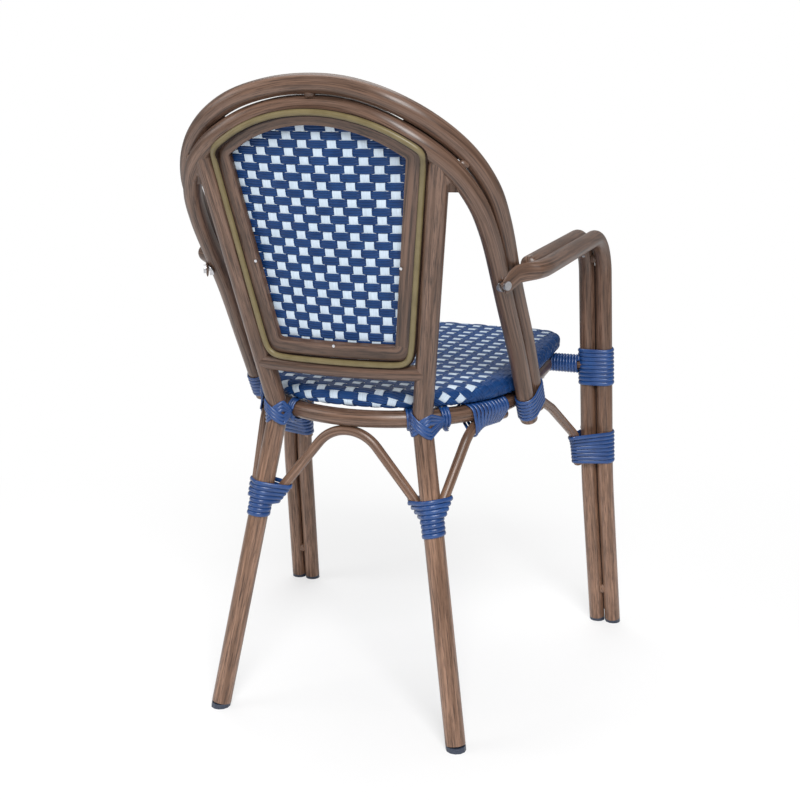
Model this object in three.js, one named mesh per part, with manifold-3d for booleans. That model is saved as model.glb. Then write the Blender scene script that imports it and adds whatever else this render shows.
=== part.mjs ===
import * as THREE from 'three';
import { mergeVertices } from 'three/addons/utils/BufferGeometryUtils.js';
import Module from 'manifold-3d';

// Rattan-look bistro armchair, in millimetres.
// The sitter faces -Y, +X is the sitter's left, and the feet stand on z = 0.

const wasm = await Module();
wasm.setup();

// Tubes and the gap kept between touching pieces
const fit = 0.25;
const hoopRadius = 12.5;
const legRadius = 12.5;
const postRadius = 14;
const ringRadius = 12;
const barRadius = 11;
const braceRadius = 7;
const tubeWall = 2;

// Heights that the rest follows: the seat ring's middle and the arms' middle
const ringHeight = 441.6;
const armAboveRing = 213.4;
const armHeight = ringHeight + armAboveRing;

// Rear legs: foot, knee and the top that meets the inner hoop
const kneeBelowRing = 5.6;
const topAboveRing = 346.4;
const postFoot = [180, 250, 0];
const postKnee = [106.5, 186.5, ringHeight - kneeBelowRing];
const postTop = [159, 277, ringHeight + topAboveRing];
const kneeBend = 90;
const postTopShort = 5;

// Hoops: one side of each centre line, from the foot up to the middle of the top,
// with heights above the seat ring's middle
const outerHoopSide = [
  [215, 5, -15.6],
  [215, 66, 84.4],
  [212, 127, 177.4],
  [214, 195, 268.4],
  [209, 229, 312.4],
  [188, 259, 354.4],
  [152, 285, 389.4],
  [105, 301, 415.9],
  [52, 301, 431.4],
  [0, 298, 435.9],
];
// the way from the outer hoop to the inner one at each of those points
const hoopPairShares = [
  [-0.15, 0.84, -0.54],
  [-0.2, 0.81, -0.54],
  [-0.22, 0.79, -0.56],
  [-0.36, 0.73, -0.56],
  [-0.48, 0.63, -0.61],
  [-0.49, 0.48, -0.71],
  [-0.48, 0.22, -0.83],
  [-0.4, -0.16, -0.89],
  [-0.2, -0.32, -0.93],
  [0, -0.34, -0.94],
];
const hoopGap = 1.4;
const hoopFootBore = 150;
const hoopWeldLength = 9;
const hoopWeldRadius = 5;
const sideWeldAboveRing = 352.4;

// Front legs and arms: a pair of tubes on each side
const pairMiddle = 277;
const pairLean = 0.0455;
const pairSpacing = 26;
const frontFootY = -253;
const frontKneeY = -201.5;
const frontKneeZ = 270;
const frontKneeBend = 450;
const armBend = 60;
const armRearX = 250;
const armRearFall = 13;
const armRearBend = 70;
const boltBelowArm = 29;
const tabYaw = THREE.MathUtils.degToRad(29.4);
const tabLead = 15;
const tabTail = 13;
const tabRise = 13;
const tabSink = 2;
const tabBend = 12;
const tabThickness = 4;
const tabEndShare = 0.5;
const flatStart = 34;
const flatRun = 22;
const innerArmEnd = 96;
const armBoreEnd = 60;
const legWeldLow = 62;
const legWeldBelowArm = 38;
const legWeldRadius = 6;
const legWeldLength = 12;
const armScrewBelowArm = 33;

// Arm bolts and their saddle washers
const boltRadius = 3;
const boltHeadRadius = 6;
const boltHeadHeight = 4;
const boltDepth = 9;
const washerRadius = 9;
const washerThickness = 1.6;
const armScrewRadius = 1.5;
const armScrewHead = 3;
const armScrewHeadHeight = 2;
const armScrewDepth = 8;

// Foot caps: a disc under the tube and a spigot inside it
const capHeight = 7;
const capSpigot = 10;

// Seat ring, in the seat's own tilted plane
const seatTilt = THREE.MathUtils.degToRad(2);
const ringRear = 191.9;
const ringRearHalf = 197.1;
const ringFront = -210;
const ringFrontHalf = 179.1;
const ringRearShare = 0.9924;
const ringFrontCorner = 45;

// Woven seat over its own bar frame
const seatRear = 197;
const seatRearHalf = 210;
const seatFront = -247;
const seatFrontMiddle = -258;
const seatFrontHalf = 195.5;
const seatRearShare = 0.9454;
const seatFrontCorner = 38;
const seatBowRadius = 1200;
const seatThickness = 26;
const seatSkin = 2.3;
const seatSheet = 4;
const seatRise = 3.8;
const seatPocketInset = 19;

// Seat screws and spacers
const seatScrewRearHalf = 119;
const seatScrewSideY = -150;
const seatScrewRadius = 2.5;
const seatScrewHead = 5;
const seatScrewHeadHeight = 3;
const spacerRadius = 6.5;
const seatScrewDepth = 12;

// Back panel, measured from the post knee along the slope of the back
const barV = 76.5;
const barBack = 11;
const bowDepth = 11.5;
const bowHalf = postTop[0] - postRadius;
const beadRadius = 4;
const beadInset = 17;
const beadBack = 18.5;
const beadBottom = 90;
const beadTopV = 374;
const beadArch = 426;
const beadBottomBend = 20;
const beadTopBend = 16;
const archShare = 1.93;
const frameOut = 5;
const frameLow = 5.5;
const frameBack = 16.5;
const frameDepth = 19;
const windowBottomV = 115.5;
const windowBottomHalf = 83.3;
const windowTopV = 367;
const windowTopHalf = 119.5;
const windowArch = 408.5;
const windowBend = 4;
const rebate = 7;
const windowDepth = 9;
const backWeaveThickness = 5;
const panelScrewRadius = 1;
const panelScrewHead = 2.1;
const panelScrewHeadHeight = 1.2;
const panelScrewDepth = 6;
const panelScrewV = 226;
const panelScrewU = 2;

// Braces, with heights below the seat ring's middle
const rearBraceY = 192;
const rearBraceAboveRing = 7.4;
const rearBraceEnd = [119, 139.6];
const rearBraceBend = 55;
const sideBraceStops = [
  [137, 207, 125.6],
  [157, 124, 17.6],
  [178, 40, 21.6],
];
const sideBraceBend = 60;
const frontBraceStops = [
  [216, -14, 10.6],
  [222, -60, 33.6],
  [236, -166, 102.6],
  [236.2, -188.5, 152.6],
];
const frontBraceBends = [60, 60];

// Front rail ends, from the ring's corners out to the legs
const railRadius = 8;
const railY = -198;
const railStart = 163;

// Lashings of flat strand
const strandWidth = 5.7;
const strandThickness = 1.8;
const strandPitch = 6.5;
const lashSlack = 0.2;
const ringSlack = 0.26;
const braceSlack = 0.35;
const rearLashBelowRing = 151.6;
const rearLashRuns = [8];
const frontLashBelowRing = 148.6;
const frontLashRuns = [7];
const upperLashBelowRing = 23.6;
const upperLashRuns = [2, 4, 2];
const upperLashGap = 4;
const ringLashFrom = [151, 126, 4.6];
const ringLashTo = [172, 60, 2.6];
const ringLashRuns = [8];
const footLashLead = 7;
const footLashRuns = [3];
const postLashRuns = [3];
const postLashFrom = 88;
const postLashTo = 60;
const railLashFrom = 191;
const railLashRuns = [5];

// Roundness of the faceted shapes
const tubeSides = 12;
const boreSides = 6;
const thinSides = 8;
const loopSteps = 8;
const scanSteps = 72;
const bowSteps = 8;
const bendStep = THREE.MathUtils.degToRad(15);
const fineParts = 200;
const clearOut = 40;

// Colours
const grain = { color: 0x6b5a50, roughness: 0.5, metalness: 0.1 };
const navy = { color: 0x1c2f57, roughness: 0.6, metalness: 0 };
const gold = { color: 0x8c8350, roughness: 0.55, metalness: 0 };
const weaveBlue = { color: 0x2a4a86, roughness: 0.6, metalness: 0 };
const steel = { color: 0xc8c8cc, roughness: 0.25, metalness: 1 };
const capGrey = { color: 0x2c3342, roughness: 0.7, metalness: 0 };
const barMetal = { color: 0x8b8d90, roughness: 0.5, metalness: 0.8 };

const chair = new THREE.Group();
const at = (p, side = 1) => new THREE.Vector3(p[0] * side, p[1], p[2]);
const belowRing = ([x, y, drop], side = 1) => at([x, y, ringHeight - drop], side);
const sides = [['left', 1], ['right', -1]];

// Curves

class Stations extends THREE.Curve {
  constructor(points) {
    super();
    this.points = points;
  }

  getPoint(t) {
    const place = t * (this.points.length - 1);
    const i = Math.min(Math.floor(place), this.points.length - 2);
    return this.points[i].clone().lerp(this.points[i + 1], place - i);
  }

  getPointAt(t) {
    return this.getPoint(t);
  }

  getTangentAt(t) {
    const list = this.points;
    const last = list.length - 1;
    const i = Math.round(t * last);
    const loop = list[0].distanceTo(list[last]) < fit;
    const before = list[i > 0 ? i - 1 : loop ? last - 1 : 0];
    const after = list[i < last ? i + 1 : loop ? 1 : last];
    const ahead = after.clone().sub(list[i]).normalize();
    const behind = list[i].clone().sub(before).normalize();
    return ahead.add(behind).normalize();
  }
}

// one round bend between the runs a-b and b-c
function bend(a, b, c, radius) {
  const back = a.clone().sub(b).normalize();
  const on = c.clone().sub(b).normalize();
  const open = back.angleTo(on);
  const turn = Math.PI - open;
  const reach = radius / Math.tan(open / 2);
  const start = b.clone().addScaledVector(back, reach);
  const centre = back.clone().add(on).setLength(radius / Math.sin(open / 2)).add(b);
  const arm = start.clone().sub(centre);
  const axis = back.clone().cross(on).normalize().negate();
  const parts = Math.max(1, Math.round(turn / bendStep));
  const list = [];
  for (let i = 0; i <= parts; i++) {
    list.push(arm.clone().applyAxisAngle(axis, (turn * i) / parts).add(centre));
  }
  return list;
}

// straight runs through the corners, with a bend at each inner one
function bentLine(corners, radii) {
  const list = [corners[0]];
  for (let i = 1; i < corners.length - 1; i++) {
    list.push(...bend(corners[i - 1], corners[i], corners[i + 1], radii[i - 1]));
  }
  list.push(corners[corners.length - 1]);
  return new Stations(list);
}

function bentLoop(corners, radii) {
  const count = corners.length;
  const list = [];
  for (let i = 0; i < count; i++) {
    const before = corners[(i + count - 1) % count];
    list.push(...bend(before, corners[i], corners[(i + 1) % count], radii[i]));
  }
  list.push(list[0].clone());
  return new Stations(list);
}

// Solids

function ringShape(radius, count) {
  const points = [];
  for (let i = 0; i < count; i++) {
    const a = ((i + 1 / 2) / count) * 2 * Math.PI;
    points.push(new THREE.Vector2(Math.cos(a) * radius, Math.sin(a) * radius));
  }
  return points;
}

function tube(path, radius, bore = 0, count = tubeSides) {
  const shape = new THREE.Shape(ringShape(radius, count));
  if (bore > 0) shape.holes.push(new THREE.Path(ringShape(bore, boreSides)));
  const steps = path.points.length - 1;
  return new THREE.ExtrudeGeometry(shape, { steps, extrudePath: path });
}

function loopTube(path, radius, count = tubeSides) {
  return new THREE.TubeGeometry(path, path.points.length - 1, radius, count, true);
}

// a round bar between two points
function bar(from, to, radius, count = tubeSides) {
  return tube(new Stations([from, to]), radius, 0, count);
}

// a plate of a flat outline, with or without rounded edges
function plate(points, depth, edge = 0, rounds = 2) {
  const bevelled = edge > 0;
  return new THREE.ExtrudeGeometry(new THREE.Shape(points), {
    depth: depth - 2 * edge,
    bevelEnabled: bevelled,
    bevelThickness: edge,
    bevelSize: edge,
    bevelSegments: rounds,
  }).translate(0, 0, edge);
}

function volumeOf(geometry) {
  const position = geometry.attributes.position;
  const index = geometry.index.array;
  const a = new THREE.Vector3();
  const b = new THREE.Vector3();
  const c = new THREE.Vector3();
  let sum = 0;
  for (let i = 0; i < index.length; i += 3) {
    a.fromBufferAttribute(position, index[i]);
    b.fromBufferAttribute(position, index[i + 1]);
    c.fromBufferAttribute(position, index[i + 2]);
    sum += a.dot(b.cross(c));
  }
  return sum;
}

// merges the shared corners and turns the faces outward
function closed(source) {
  const bare = source.clone();
  bare.deleteAttribute('normal');
  bare.deleteAttribute('uv');
  const geometry = mergeVertices(bare, fit / 100);
  if (volumeOf(geometry) < 0) {
    const index = geometry.index.array;
    for (let i = 0; i < index.length; i += 3) {
      const keep = index[i];
      index[i] = index[i + 1];
      index[i + 1] = keep;
    }
  }
  return geometry;
}

function solid(source) {
  const geometry = closed(source);
  return new wasm.Manifold(new wasm.Mesh({
    numProp: 3,
    vertProperties: new Float32Array(geometry.attributes.position.array),
    triVerts: new Uint32Array(geometry.index.array),
  }));
}

function fromSolid(body) {
  const mesh = body.getMesh();
  const geometry = new THREE.BufferGeometry();
  geometry.setAttribute('position', new THREE.BufferAttribute(mesh.vertProperties, 3));
  geometry.setIndex(new THREE.BufferAttribute(mesh.triVerts, 1));
  return geometry;
}

// a cut may leave loose slivers, so only the largest body stays
function cut(source, ...tools) {
  let body = solid(source);
  for (const tool of tools) body = body.subtract(solid(tool));
  const largest = body.decompose().reduce((a, b) => (b.volume() > a.volume() ? b : a));
  return fromSolid(largest);
}

function joined(source, ...others) {
  let body = solid(source);
  for (const other of others) body = body.add(solid(other));
  return fromSolid(body);
}

function piece(name, geometry, look, parent = chair) {
  const shape = closed(geometry);
  shape.computeVertexNormals();
  const mesh = new THREE.Mesh(shape, new THREE.MeshStandardMaterial(look));
  mesh.name = name;
  parent.add(mesh);
  return mesh;
}

// Places: the tilted seat plane and the sloping back plane

const seatPlane = new THREE.Group();
seatPlane.position.z = ringHeight;
seatPlane.rotation.x = -seatTilt;
chair.add(seatPlane);

const backPlane = new THREE.Group();
const backUp = new THREE.Vector3(0, postTop[1] - postKnee[1], postTop[2] - postKnee[2]);
const backLength = backUp.length();
backPlane.position.set(0, postKnee[1], postKnee[2]);
backPlane.rotation.x = Math.PI / 2 - Math.atan2(backUp.y, backUp.z);
chair.add(backPlane);
chair.updateMatrixWorld(true);

const outOf = (group, geometry) => geometry.clone().applyMatrix4(group.matrixWorld);
const into = (group, geometry) =>
  geometry.clone().applyMatrix4(group.matrixWorld.clone().invert());
const spot = (group, x, y, z) => new THREE.Vector3(x, y, z).applyMatrix4(group.matrixWorld);

// The bead's loop, on the bowed surface of the back

const postSlope = (postTop[0] - postKnee[0]) / backLength;
const postU = (v) => postKnee[0] + postSlope * v;
const bowed = (middle, u) => middle - bowDepth * (u / bowHalf) * (u / bowHalf);
const flatOutline = (path) => path.points.slice(1).map((p) => new THREE.Vector2(p.x, p.y));

// a straight bottom and sides under an arch that starts at two top corners
function archLoop(bottomHalf, bottom, topHalf, top, apex, bottomBend, topBend) {
  const corner = top + (apex - top) * archShare;
  const lean = Math.atan2(corner - top, topHalf);
  const radius = (corner - apex) / (1 / Math.cos(lean) - 1);
  const corners = [
    [-bottomHalf, bottom, 0],
    [bottomHalf, bottom, 0],
    [topHalf, top, 0],
    [0, corner, 0],
    [-topHalf, top, 0],
  ].map((p) => at(p));
  return bentLoop(corners, [bottomBend, bottomBend, topBend, radius, topBend]);
}

function onBow(path, middle, spacing) {
  const list = [];
  path.points.forEach((b, i) => {
    const a = path.points[i - 1];
    const parts = a ? Math.ceil(Math.abs(b.x - a.x) / spacing) : 1;
    for (let k = 1; k < parts; k++) list.push(a.clone().lerp(b, k / parts));
    list.push(b.clone());
  });
  list.forEach((p) => p.setZ(-bowed(middle, p.x)));
  return new Stations(list);
}

const beadPath = onBow(
  archLoop(
    postU(beadBottom) - beadInset, beadBottom, postU(beadTopV) - beadInset, beadTopV,
    beadArch, beadBottomBend, beadTopBend,
  ),
  beadBack, bowHalf / 4,
);

// a block that removes all that is under a height
function floorBlock(height, centre) {
  const size = clearOut * 2;
  const block = new THREE.BoxGeometry(size, size, size);
  return block.translate(centre[0], centre[1], height - clearOut);
}

// Hoops

const mirrored = (list) => {
  const other = list.slice(0, -1).reverse();
  return [...list, ...other.map((p) => p.clone().setX(-p.x))];
};
const curveThrough = (list) => new THREE.CatmullRomCurve3(mirrored(list), false, 'centripetal');

// both hoops turn at the same stations, so that they stay side by side
function hoopPair() {
  const outer = curveThrough(outerHoopSide.map(([x, y, rise]) => at([x, y, ringHeight + rise])));
  const toward = curveThrough(hoopPairShares.map((p) => at(p)));
  const lists = [[], []];
  const heading = new THREE.Vector3();
  for (let i = 0; i <= fineParts; i++) {
    const t = i / (2 * fineParts);
    const next = outer.getTangent(t);
    if (i > 0 && i < fineParts && next.angleTo(heading) < bendStep) continue;
    heading.copy(next);
    const point = outer.getPoint(t);
    const across = toward.getPoint(t).projectOnPlane(heading);
    lists[0].push(point);
    lists[1].push(across.setLength(2 * hoopRadius + hoopGap).add(point));
  }
  return lists.map((list) => new Stations(mirrored(list)));
}

const [outerHoop, innerHoop] = hoopPair();
const hoopBore = hoopRadius - tubeWall;

function nearest(path, height, side) {
  const list = path.points;
  let best = null;
  for (let i = 0; i < list.length - 1; i++) {
    const a = list[i];
    const b = list[i + 1];
    const crosses = (a.z - height) * (b.z - height) <= 0 && a.x * side > 0;
    if (crosses && !best) best = a.clone().lerp(b, (height - a.z) / (b.z - a.z));
  }
  return best;
}

piece('outer_hoop', tube(outerHoop, hoopRadius, hoopBore), grain);

// a short weld in the groove between two tubes, cut clear of the tools
function groove(a, b, along, length, radius, ...tools) {
  const middle = a.clone().lerp(b, 1 / 2);
  const reach = along.clone().setLength(length / 2);
  const body = bar(middle.clone().sub(reach), middle.clone().add(reach), radius, thinSides);
  return cut(body, ...tools);
}

function hoopWeld(a, b, along) {
  const outerRoom = tube(outerHoop, hoopRadius + fit);
  const innerCore = tube(innerHoop, hoopRadius - tubeWall / 2);
  const lift = along.clone().cross(b.clone().sub(a)).setLength(hoopWeldRadius);
  const from = a.clone().add(lift);
  const to = b.clone().add(lift);
  return groove(from, to, along, hoopWeldLength, hoopWeldRadius, outerRoom, innerCore);
}

function hoopWelds() {
  const across = new THREE.Vector3(1, 0, 0);
  const list = [hoopWeld(outerHoop.getPoint(1 / 2), innerHoop.getPoint(1 / 2), across)];
  for (const [, sign] of sides) {
    const height = ringHeight + sideWeldAboveRing;
    const a = nearest(outerHoop, height, sign);
    const b = nearest(innerHoop, height - hoopRadius, sign);
    const up = nearest(innerHoop, height, sign).sub(b);
    list.push(hoopWeld(a, b, sign < 0 ? up.negate() : up));
  }
  return list;
}

// Rear legs that run on up as the posts of the back

function postPath(sign) {
  const foot = at(postFoot, sign);
  const knee = at(postKnee, sign);
  const top = at(postTop, sign);
  const below = foot.clone().lerp(knee, -clearOut / foot.distanceTo(knee));
  const end = top.clone().lerp(knee, postTopShort / top.distanceTo(knee));
  return bentLine([below, knee, end], [kneeBend]);
}

const innerHoopRoom = tube(innerHoop, hoopRadius + fit);
for (const [side, sign] of sides) {
  const path = postPath(sign);
  const body = tube(path, postRadius, postRadius - tubeWall);
  const ground = floorBlock(capHeight + fit, at(postFoot, sign).toArray());
  piece(`rear_leg_${side}`, cut(body, ground, innerHoopRoom), grain);
}

// Foot caps

function footCap(name, path, radius) {
  const foot = path.points[0];
  const lean = path.points[1].clone().sub(foot);
  const slopeX = lean.x / lean.z;
  const slopeY = lean.y / lean.z;
  const inside = (radius - tubeWall) * Math.cos(Math.PI / boreSides) - fit;
  const disc = plate(ringShape(radius, tubeSides), capHeight);
  const spigot = plate(ringShape(inside, tubeSides), capHeight + capSpigot);
  const body = joined(disc, spigot);
  body.applyMatrix4(new THREE.Matrix4().makeShear(0, 0, 0, 0, slopeX, slopeY));
  body.translate(foot.x - foot.z * slopeX, foot.y - foot.z * slopeY, 0);
  piece(name, body, capGrey);
}

for (const [side, sign] of sides) footCap(`foot_cap_rear_${side}`, postPath(sign), postRadius);

// Front legs and arms: two tubes side by side, the outer one flattened to a bolt tab

const pairX = (z, offset) => pairMiddle - pairLean * z + offset;
const legY = (z) => frontFootY + ((frontKneeY - frontFootY) / frontKneeZ) * z;

function legCorners(offset) {
  return [
    [pairX(-clearOut, offset), legY(-clearOut), -clearOut],
    [pairX(frontKneeZ, offset), frontKneeY, frontKneeZ],
    [pairX(armHeight, offset), frontKneeY, armHeight],
  ];
}

// the bolt's place and the tab's own directions, along it and square to it
function tabFrame(sign) {
  const along = new THREE.Vector3(-Math.sin(tabYaw) * sign, Math.cos(tabYaw), 0);
  const outward = new THREE.Vector3(Math.cos(tabYaw) * sign, Math.sin(tabYaw), 0);
  const hoop = nearest(innerHoop, armHeight - boltBelowArm, sign);
  const lift = hoopRadius + washerThickness + tabThickness / 2 + 2 * fit;
  const bolt = hoop.clone().addScaledVector(outward, lift);
  const from = bolt.clone().addScaledVector(along, -tabLead);
  return { along, outward, hoop, bolt, from };
}

function outerLegPath(sign) {
  const { along, bolt, from } = tabFrame(sign);
  const start = from.clone().setZ(bolt.z + tabRise);
  const back = (armRearX - from.x * sign) / Math.sin(tabYaw);
  const corner = from.clone().addScaledVector(along, -back).setZ(armHeight - armRearFall);
  const end = bolt.clone().addScaledVector(along, tabTail).setZ(bolt.z - tabSink);
  const corners = legCorners(pairSpacing / 2).map((p) => at(p, sign));
  return bentLine(
    [...corners, corner, start, end],
    [frontKneeBend, armBend, armRearBend, tabBend],
  );
}

function innerLegPath(sign) {
  const high = legCorners(pairSpacing / 2)[2];
  const rear = outerLegPath(sign).points.find((p) => p.y > armBoreEnd);
  const share = (innerArmEnd - frontKneeY) / (rear.y - frontKneeY);
  const slope = (rear.x * sign - high[0]) * share;
  const fall = (rear.z - armHeight) * share;
  const corners = legCorners(-pairSpacing / 2);
  corners.push([corners[2][0] + slope, innerArmEnd, armHeight + fall]);
  return bentLine(corners.map((p) => at(p, sign)), [frontKneeBend, armBend]);
}

// squeezes the tube's end flat, little by little over the flat run, and narrows its tip
function flattened(geometry, sign) {
  const { along, outward, bolt, from } = tabFrame(sign);
  const position = geometry.attributes.position;
  const p = new THREE.Vector3();
  for (let i = 0; i < position.count; i++) {
    p.fromBufferAttribute(position, i);
    const reach = p.clone().sub(from).dot(along) + flatStart;
    const off = p.clone().sub(from).dot(outward);
    if (reach <= 0 || p.distanceTo(from) > 2 * clearOut) continue;
    const done = THREE.MathUtils.smoothstep(reach, 0, flatRun);
    const share = THREE.MathUtils.lerp(1, tabThickness / (2 * legRadius), done);
    p.addScaledVector(outward, off * (share - 1));
    const past = p.clone().sub(bolt).dot(along);
    const tip = THREE.MathUtils.clamp(past / tabTail, 0, 1);
    p.z += (bolt.z - tabSink - p.z) * tip * tip * tabEndShare;
    position.setXYZ(i, p.x, p.y, p.z);
  }
  return geometry;
}

// adds stations on the runs near a place
function finer(path, place, spacing) {
  const list = [];
  path.points.forEach((b, i) => {
    const a = path.points[i - 1];
    const near = a && Math.min(a.distanceTo(place), b.distanceTo(place)) < clearOut;
    const parts = near ? Math.ceil(a.distanceTo(b) / spacing) : 1;
    for (let k = 1; k < parts; k++) list.push(a.clone().lerp(b, k / parts));
    list.push(b);
  });
  return new Stations(list);
}

// the bore of a leg runs from its foot into the arm
function legBore(path) {
  const last = path.points.findIndex((p) => p.y > armBoreEnd);
  return tube(new Stations(path.points.slice(0, last)), legRadius - tubeWall, 0, boreSides);
}

// a round pin along an axis, from a start over a length
function pin(start, axis, length, radius, count = thinSides) {
  const end = start.clone().addScaledVector(axis, length);
  return bar(start, end, radius, count);
}

const boltDrills = [];
for (const [side, sign] of sides) {
  const { outward, hoop, bolt, from } = tabFrame(sign);
  const path = outerLegPath(sign);
  const inward = outward.clone().negate();
  const headSeat = bolt.clone().addScaledVector(outward, tabThickness / 2 + fit);
  const shankRun = headSeat.distanceTo(hoop) - hoopRadius + boltDepth;
  const drill = pin(headSeat.clone().addScaledVector(outward, fit), inward, shankRun + fit * 2,
    boltRadius + fit);
  boltDrills.push(drill);

  const fine = finer(path, from, flatRun / 3);
  const body = flattened(tube(fine, legRadius), sign);
  const ground = floorBlock(capHeight + fit, [pairX(0, pairSpacing / 2) * sign, frontFootY]);
  piece(`front_leg_outer_${side}`, cut(body, ground, legBore(path), drill, innerHoopRoom), grain);
  footCap(`foot_cap_front_outer_${side}`, path, legRadius);

  const head = pin(headSeat, outward, boltHeadHeight, boltHeadRadius, tubeSides);
  const shank = pin(headSeat.clone().addScaledVector(outward, fit), inward, shankRun, boltRadius);
  piece(`arm_bolt_${side}`, joined(head, shank), steel);

  const washerTop = bolt.clone().addScaledVector(outward, -tabThickness / 2 - fit);
  const washer = pin(washerTop, inward, hoopRadius, washerRadius, tubeSides);
  const hoopRoom = tube(innerHoop, hoopRadius + fit);
  piece(`arm_washer_${side}`, cut(washer, hoopRoom, drill), steel);
}

// the open foot of a hoop that is solid higher up, where the bead lies in its groove
function footBore(path, sign) {
  const list = sign > 0 ? path.points : [...path.points].reverse();
  const heading = list[1].clone().sub(list[0]).normalize();
  const start = list[0].clone().addScaledVector(heading, -fit);
  return pin(start, heading, hoopFootBore, hoopBore, boreSides);
}

const footBores = sides.map(([, sign]) => footBore(innerHoop, sign));
const beadGroove = outOf(backPlane, loopTube(beadPath, beadRadius + fit, thinSides));
const weldedHoop = joined(tube(innerHoop, hoopRadius), ...hoopWelds());
piece('inner_hoop', cut(weldedHoop, ...boltDrills, ...footBores, beadGroove), grain);

// the welds in the rear groove of a pair of legs
function legWelds(sign, outerRoom) {
  const path = innerLegPath(sign);
  const core = tube(path, legRadius - tubeWall / 2);
  return [legWeldLow, armHeight - legWeldBelowArm].map((height) => {
    const lift = new THREE.Vector3(0, legWeldRadius, 0);
    const a = nearest(outerLegPath(sign), height, sign).add(lift);
    const b = nearest(path, height, sign).add(lift);
    const along = nearest(path, height + legWeldLength, sign).add(lift).sub(b);
    return groove(a, b, along, legWeldLength, legWeldRadius, outerRoom, core);
  });
}

// a small screw at the back of the leg: where it goes in, and the ways out and in
function screwPlace(path, sign) {
  const rearward = new THREE.Vector3(0, 1, 0);
  const middle = nearest(path, armHeight - armScrewBelowArm, sign);
  const seat = middle.addScaledVector(rearward, legRadius);
  return { seat, rearward, forward: rearward.clone().negate() };
}

for (const [side, sign] of sides) {
  const path = innerLegPath(sign);
  const body = tube(path, legRadius);
  const ground = floorBlock(capHeight + fit, [pairX(0, -pairSpacing / 2) * sign, frontFootY]);
  const outerRoom = tube(outerLegPath(sign), legRadius + fit);
  const { seat, rearward, forward } = screwPlace(path, sign);
  const top = seat.clone().addScaledVector(rearward, armScrewHeadHeight);
  const depth = armScrewHeadHeight + armScrewDepth;
  const drill = pin(top, forward, depth + fit, armScrewRadius + fit);
  const leg = cut(body, ground, legBore(path), outerRoom, drill);
  piece(`front_leg_inner_${side}`, joined(leg, ...legWelds(sign, outerRoom)), grain);
  footCap(`foot_cap_front_inner_${side}`, path, legRadius);

  const room = tube(path, legRadius + fit);
  const low = seat.clone().addScaledVector(forward, armScrewHeadHeight);
  const head = cut(pin(low, rearward, 2 * armScrewHeadHeight, armScrewHead), room);
  piece(`arm_screw_${side}`, joined(head, pin(top, forward, depth, armScrewRadius)), steel);
}

// Seat ring and the woven seat above it

// the radius of a rear corner whose bend takes up a share of the rear side's half
function rearRadius(share, rearHalf, frontHalf, depth) {
  const taper = Math.atan((rearHalf - frontHalf) / depth);
  return share * rearHalf * Math.tan((Math.PI / 2 - taper) / 2);
}
const ringRearCorner = rearRadius(
  ringRearShare, ringRearHalf, ringFrontHalf, ringRear - ringFront,
);
const seatRearCorner = rearRadius(
  seatRearShare, seatRearHalf, seatFrontHalf, seatRear - seatFront,
);
const ringPath = bentLoop(
  [
    [ringRearHalf, ringRear, 0],
    [-ringRearHalf, ringRear, 0],
    [-ringFrontHalf, ringFront, 0],
    [ringFrontHalf, ringFront, 0],
  ].map((p) => at(p)),
  [ringRearCorner, ringRearCorner, ringFrontCorner, ringFrontCorner],
);

function seatLoop(inset) {
  const rear = seatRearCorner - inset;
  const front = seatFrontCorner - inset;
  const corners = [
    [seatRearHalf - inset, seatRear - inset, 0],
    [-seatRearHalf + inset, seatRear - inset, 0],
    [-seatFrontHalf + inset, seatFront + inset, 0],
    [0, seatFrontMiddle + inset, 0],
    [seatFrontHalf - inset, seatFront + inset, 0],
  ].map((p) => at(p));
  return bentLoop(corners, [rear, rear, front, seatBowRadius, front]);
}

// where the ring's centre line stands at a width or at a depth, on the left side
function ringSpot(axis, value) {
  const list = ringPath.points;
  for (let i = 0; i < list.length - 1; i++) {
    const a = list[i];
    const b = list[i + 1];
    const low = Math.min(a[axis], b[axis]);
    const high = Math.max(a[axis], b[axis]);
    const within = low <= value && value < high && a.x > 0 && a.y + b.y > ringFront;
    if (within) return a.clone().lerp(b, (value - a[axis]) / (b[axis] - a[axis]));
  }
  return list[0].clone();
}

const seatBottom = ringRadius + seatRise;
const frameMiddle = seatBottom + seatThickness / 2;
const frameTube = seatThickness / 2 - seatSkin - fit;
const up = new THREE.Vector3(0, 0, 1);
const screwSpots = [
  ['rear', ringSpot('x', seatScrewRearHalf)],
  ['front', ringSpot('y', seatScrewSideY)],
];
const seatScrews = [];
for (const [end, place] of screwSpots) {
  for (const [side, sign] of sides) {
    const foot = at(place.toArray(), sign).setZ(-ringRadius - fit);
    const depth = ringRadius * 2 + seatRise + seatScrewDepth;
    const head = pin(foot, up.clone().negate(), seatScrewHeadHeight, seatScrewHead);
    const shank = pin(foot.clone().addScaledVector(up, -fit), up, depth, seatScrewRadius);
    const drill = pin(foot.clone().addScaledVector(up, -fit), up, depth + fit * 2,
      seatScrewRadius + fit);
    const seat = pin(foot.clone().setZ(0), up, seatBottom - fit, spacerRadius, tubeSides);
    seatScrews.push({ name: `${end}_${side}`, screw: joined(head, shank), drill, seat });
  }
}

const drills = seatScrews.map((s) => s.drill);
piece('seat_ring', cut(loopTube(ringPath, ringRadius), ...drills), grain, seatPlane);
for (const s of seatScrews) {
  const ringRoom = loopTube(ringPath, ringRadius + fit);
  piece(`seat_screw_${s.name}`, s.screw, steel, seatPlane);
  piece(`seat_spacer_${s.name}`, cut(s.seat, ringRoom, s.drill), barMetal, seatPlane);
}

const edgeInset = seatThickness / 2;
const framePath = seatLoop(edgeInset);
framePath.points.forEach((p) => p.setZ(frameMiddle));
piece('seat_frame', cut(loopTube(framePath, frameTube, thinSides), ...drills), barMetal, seatPlane);

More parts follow.
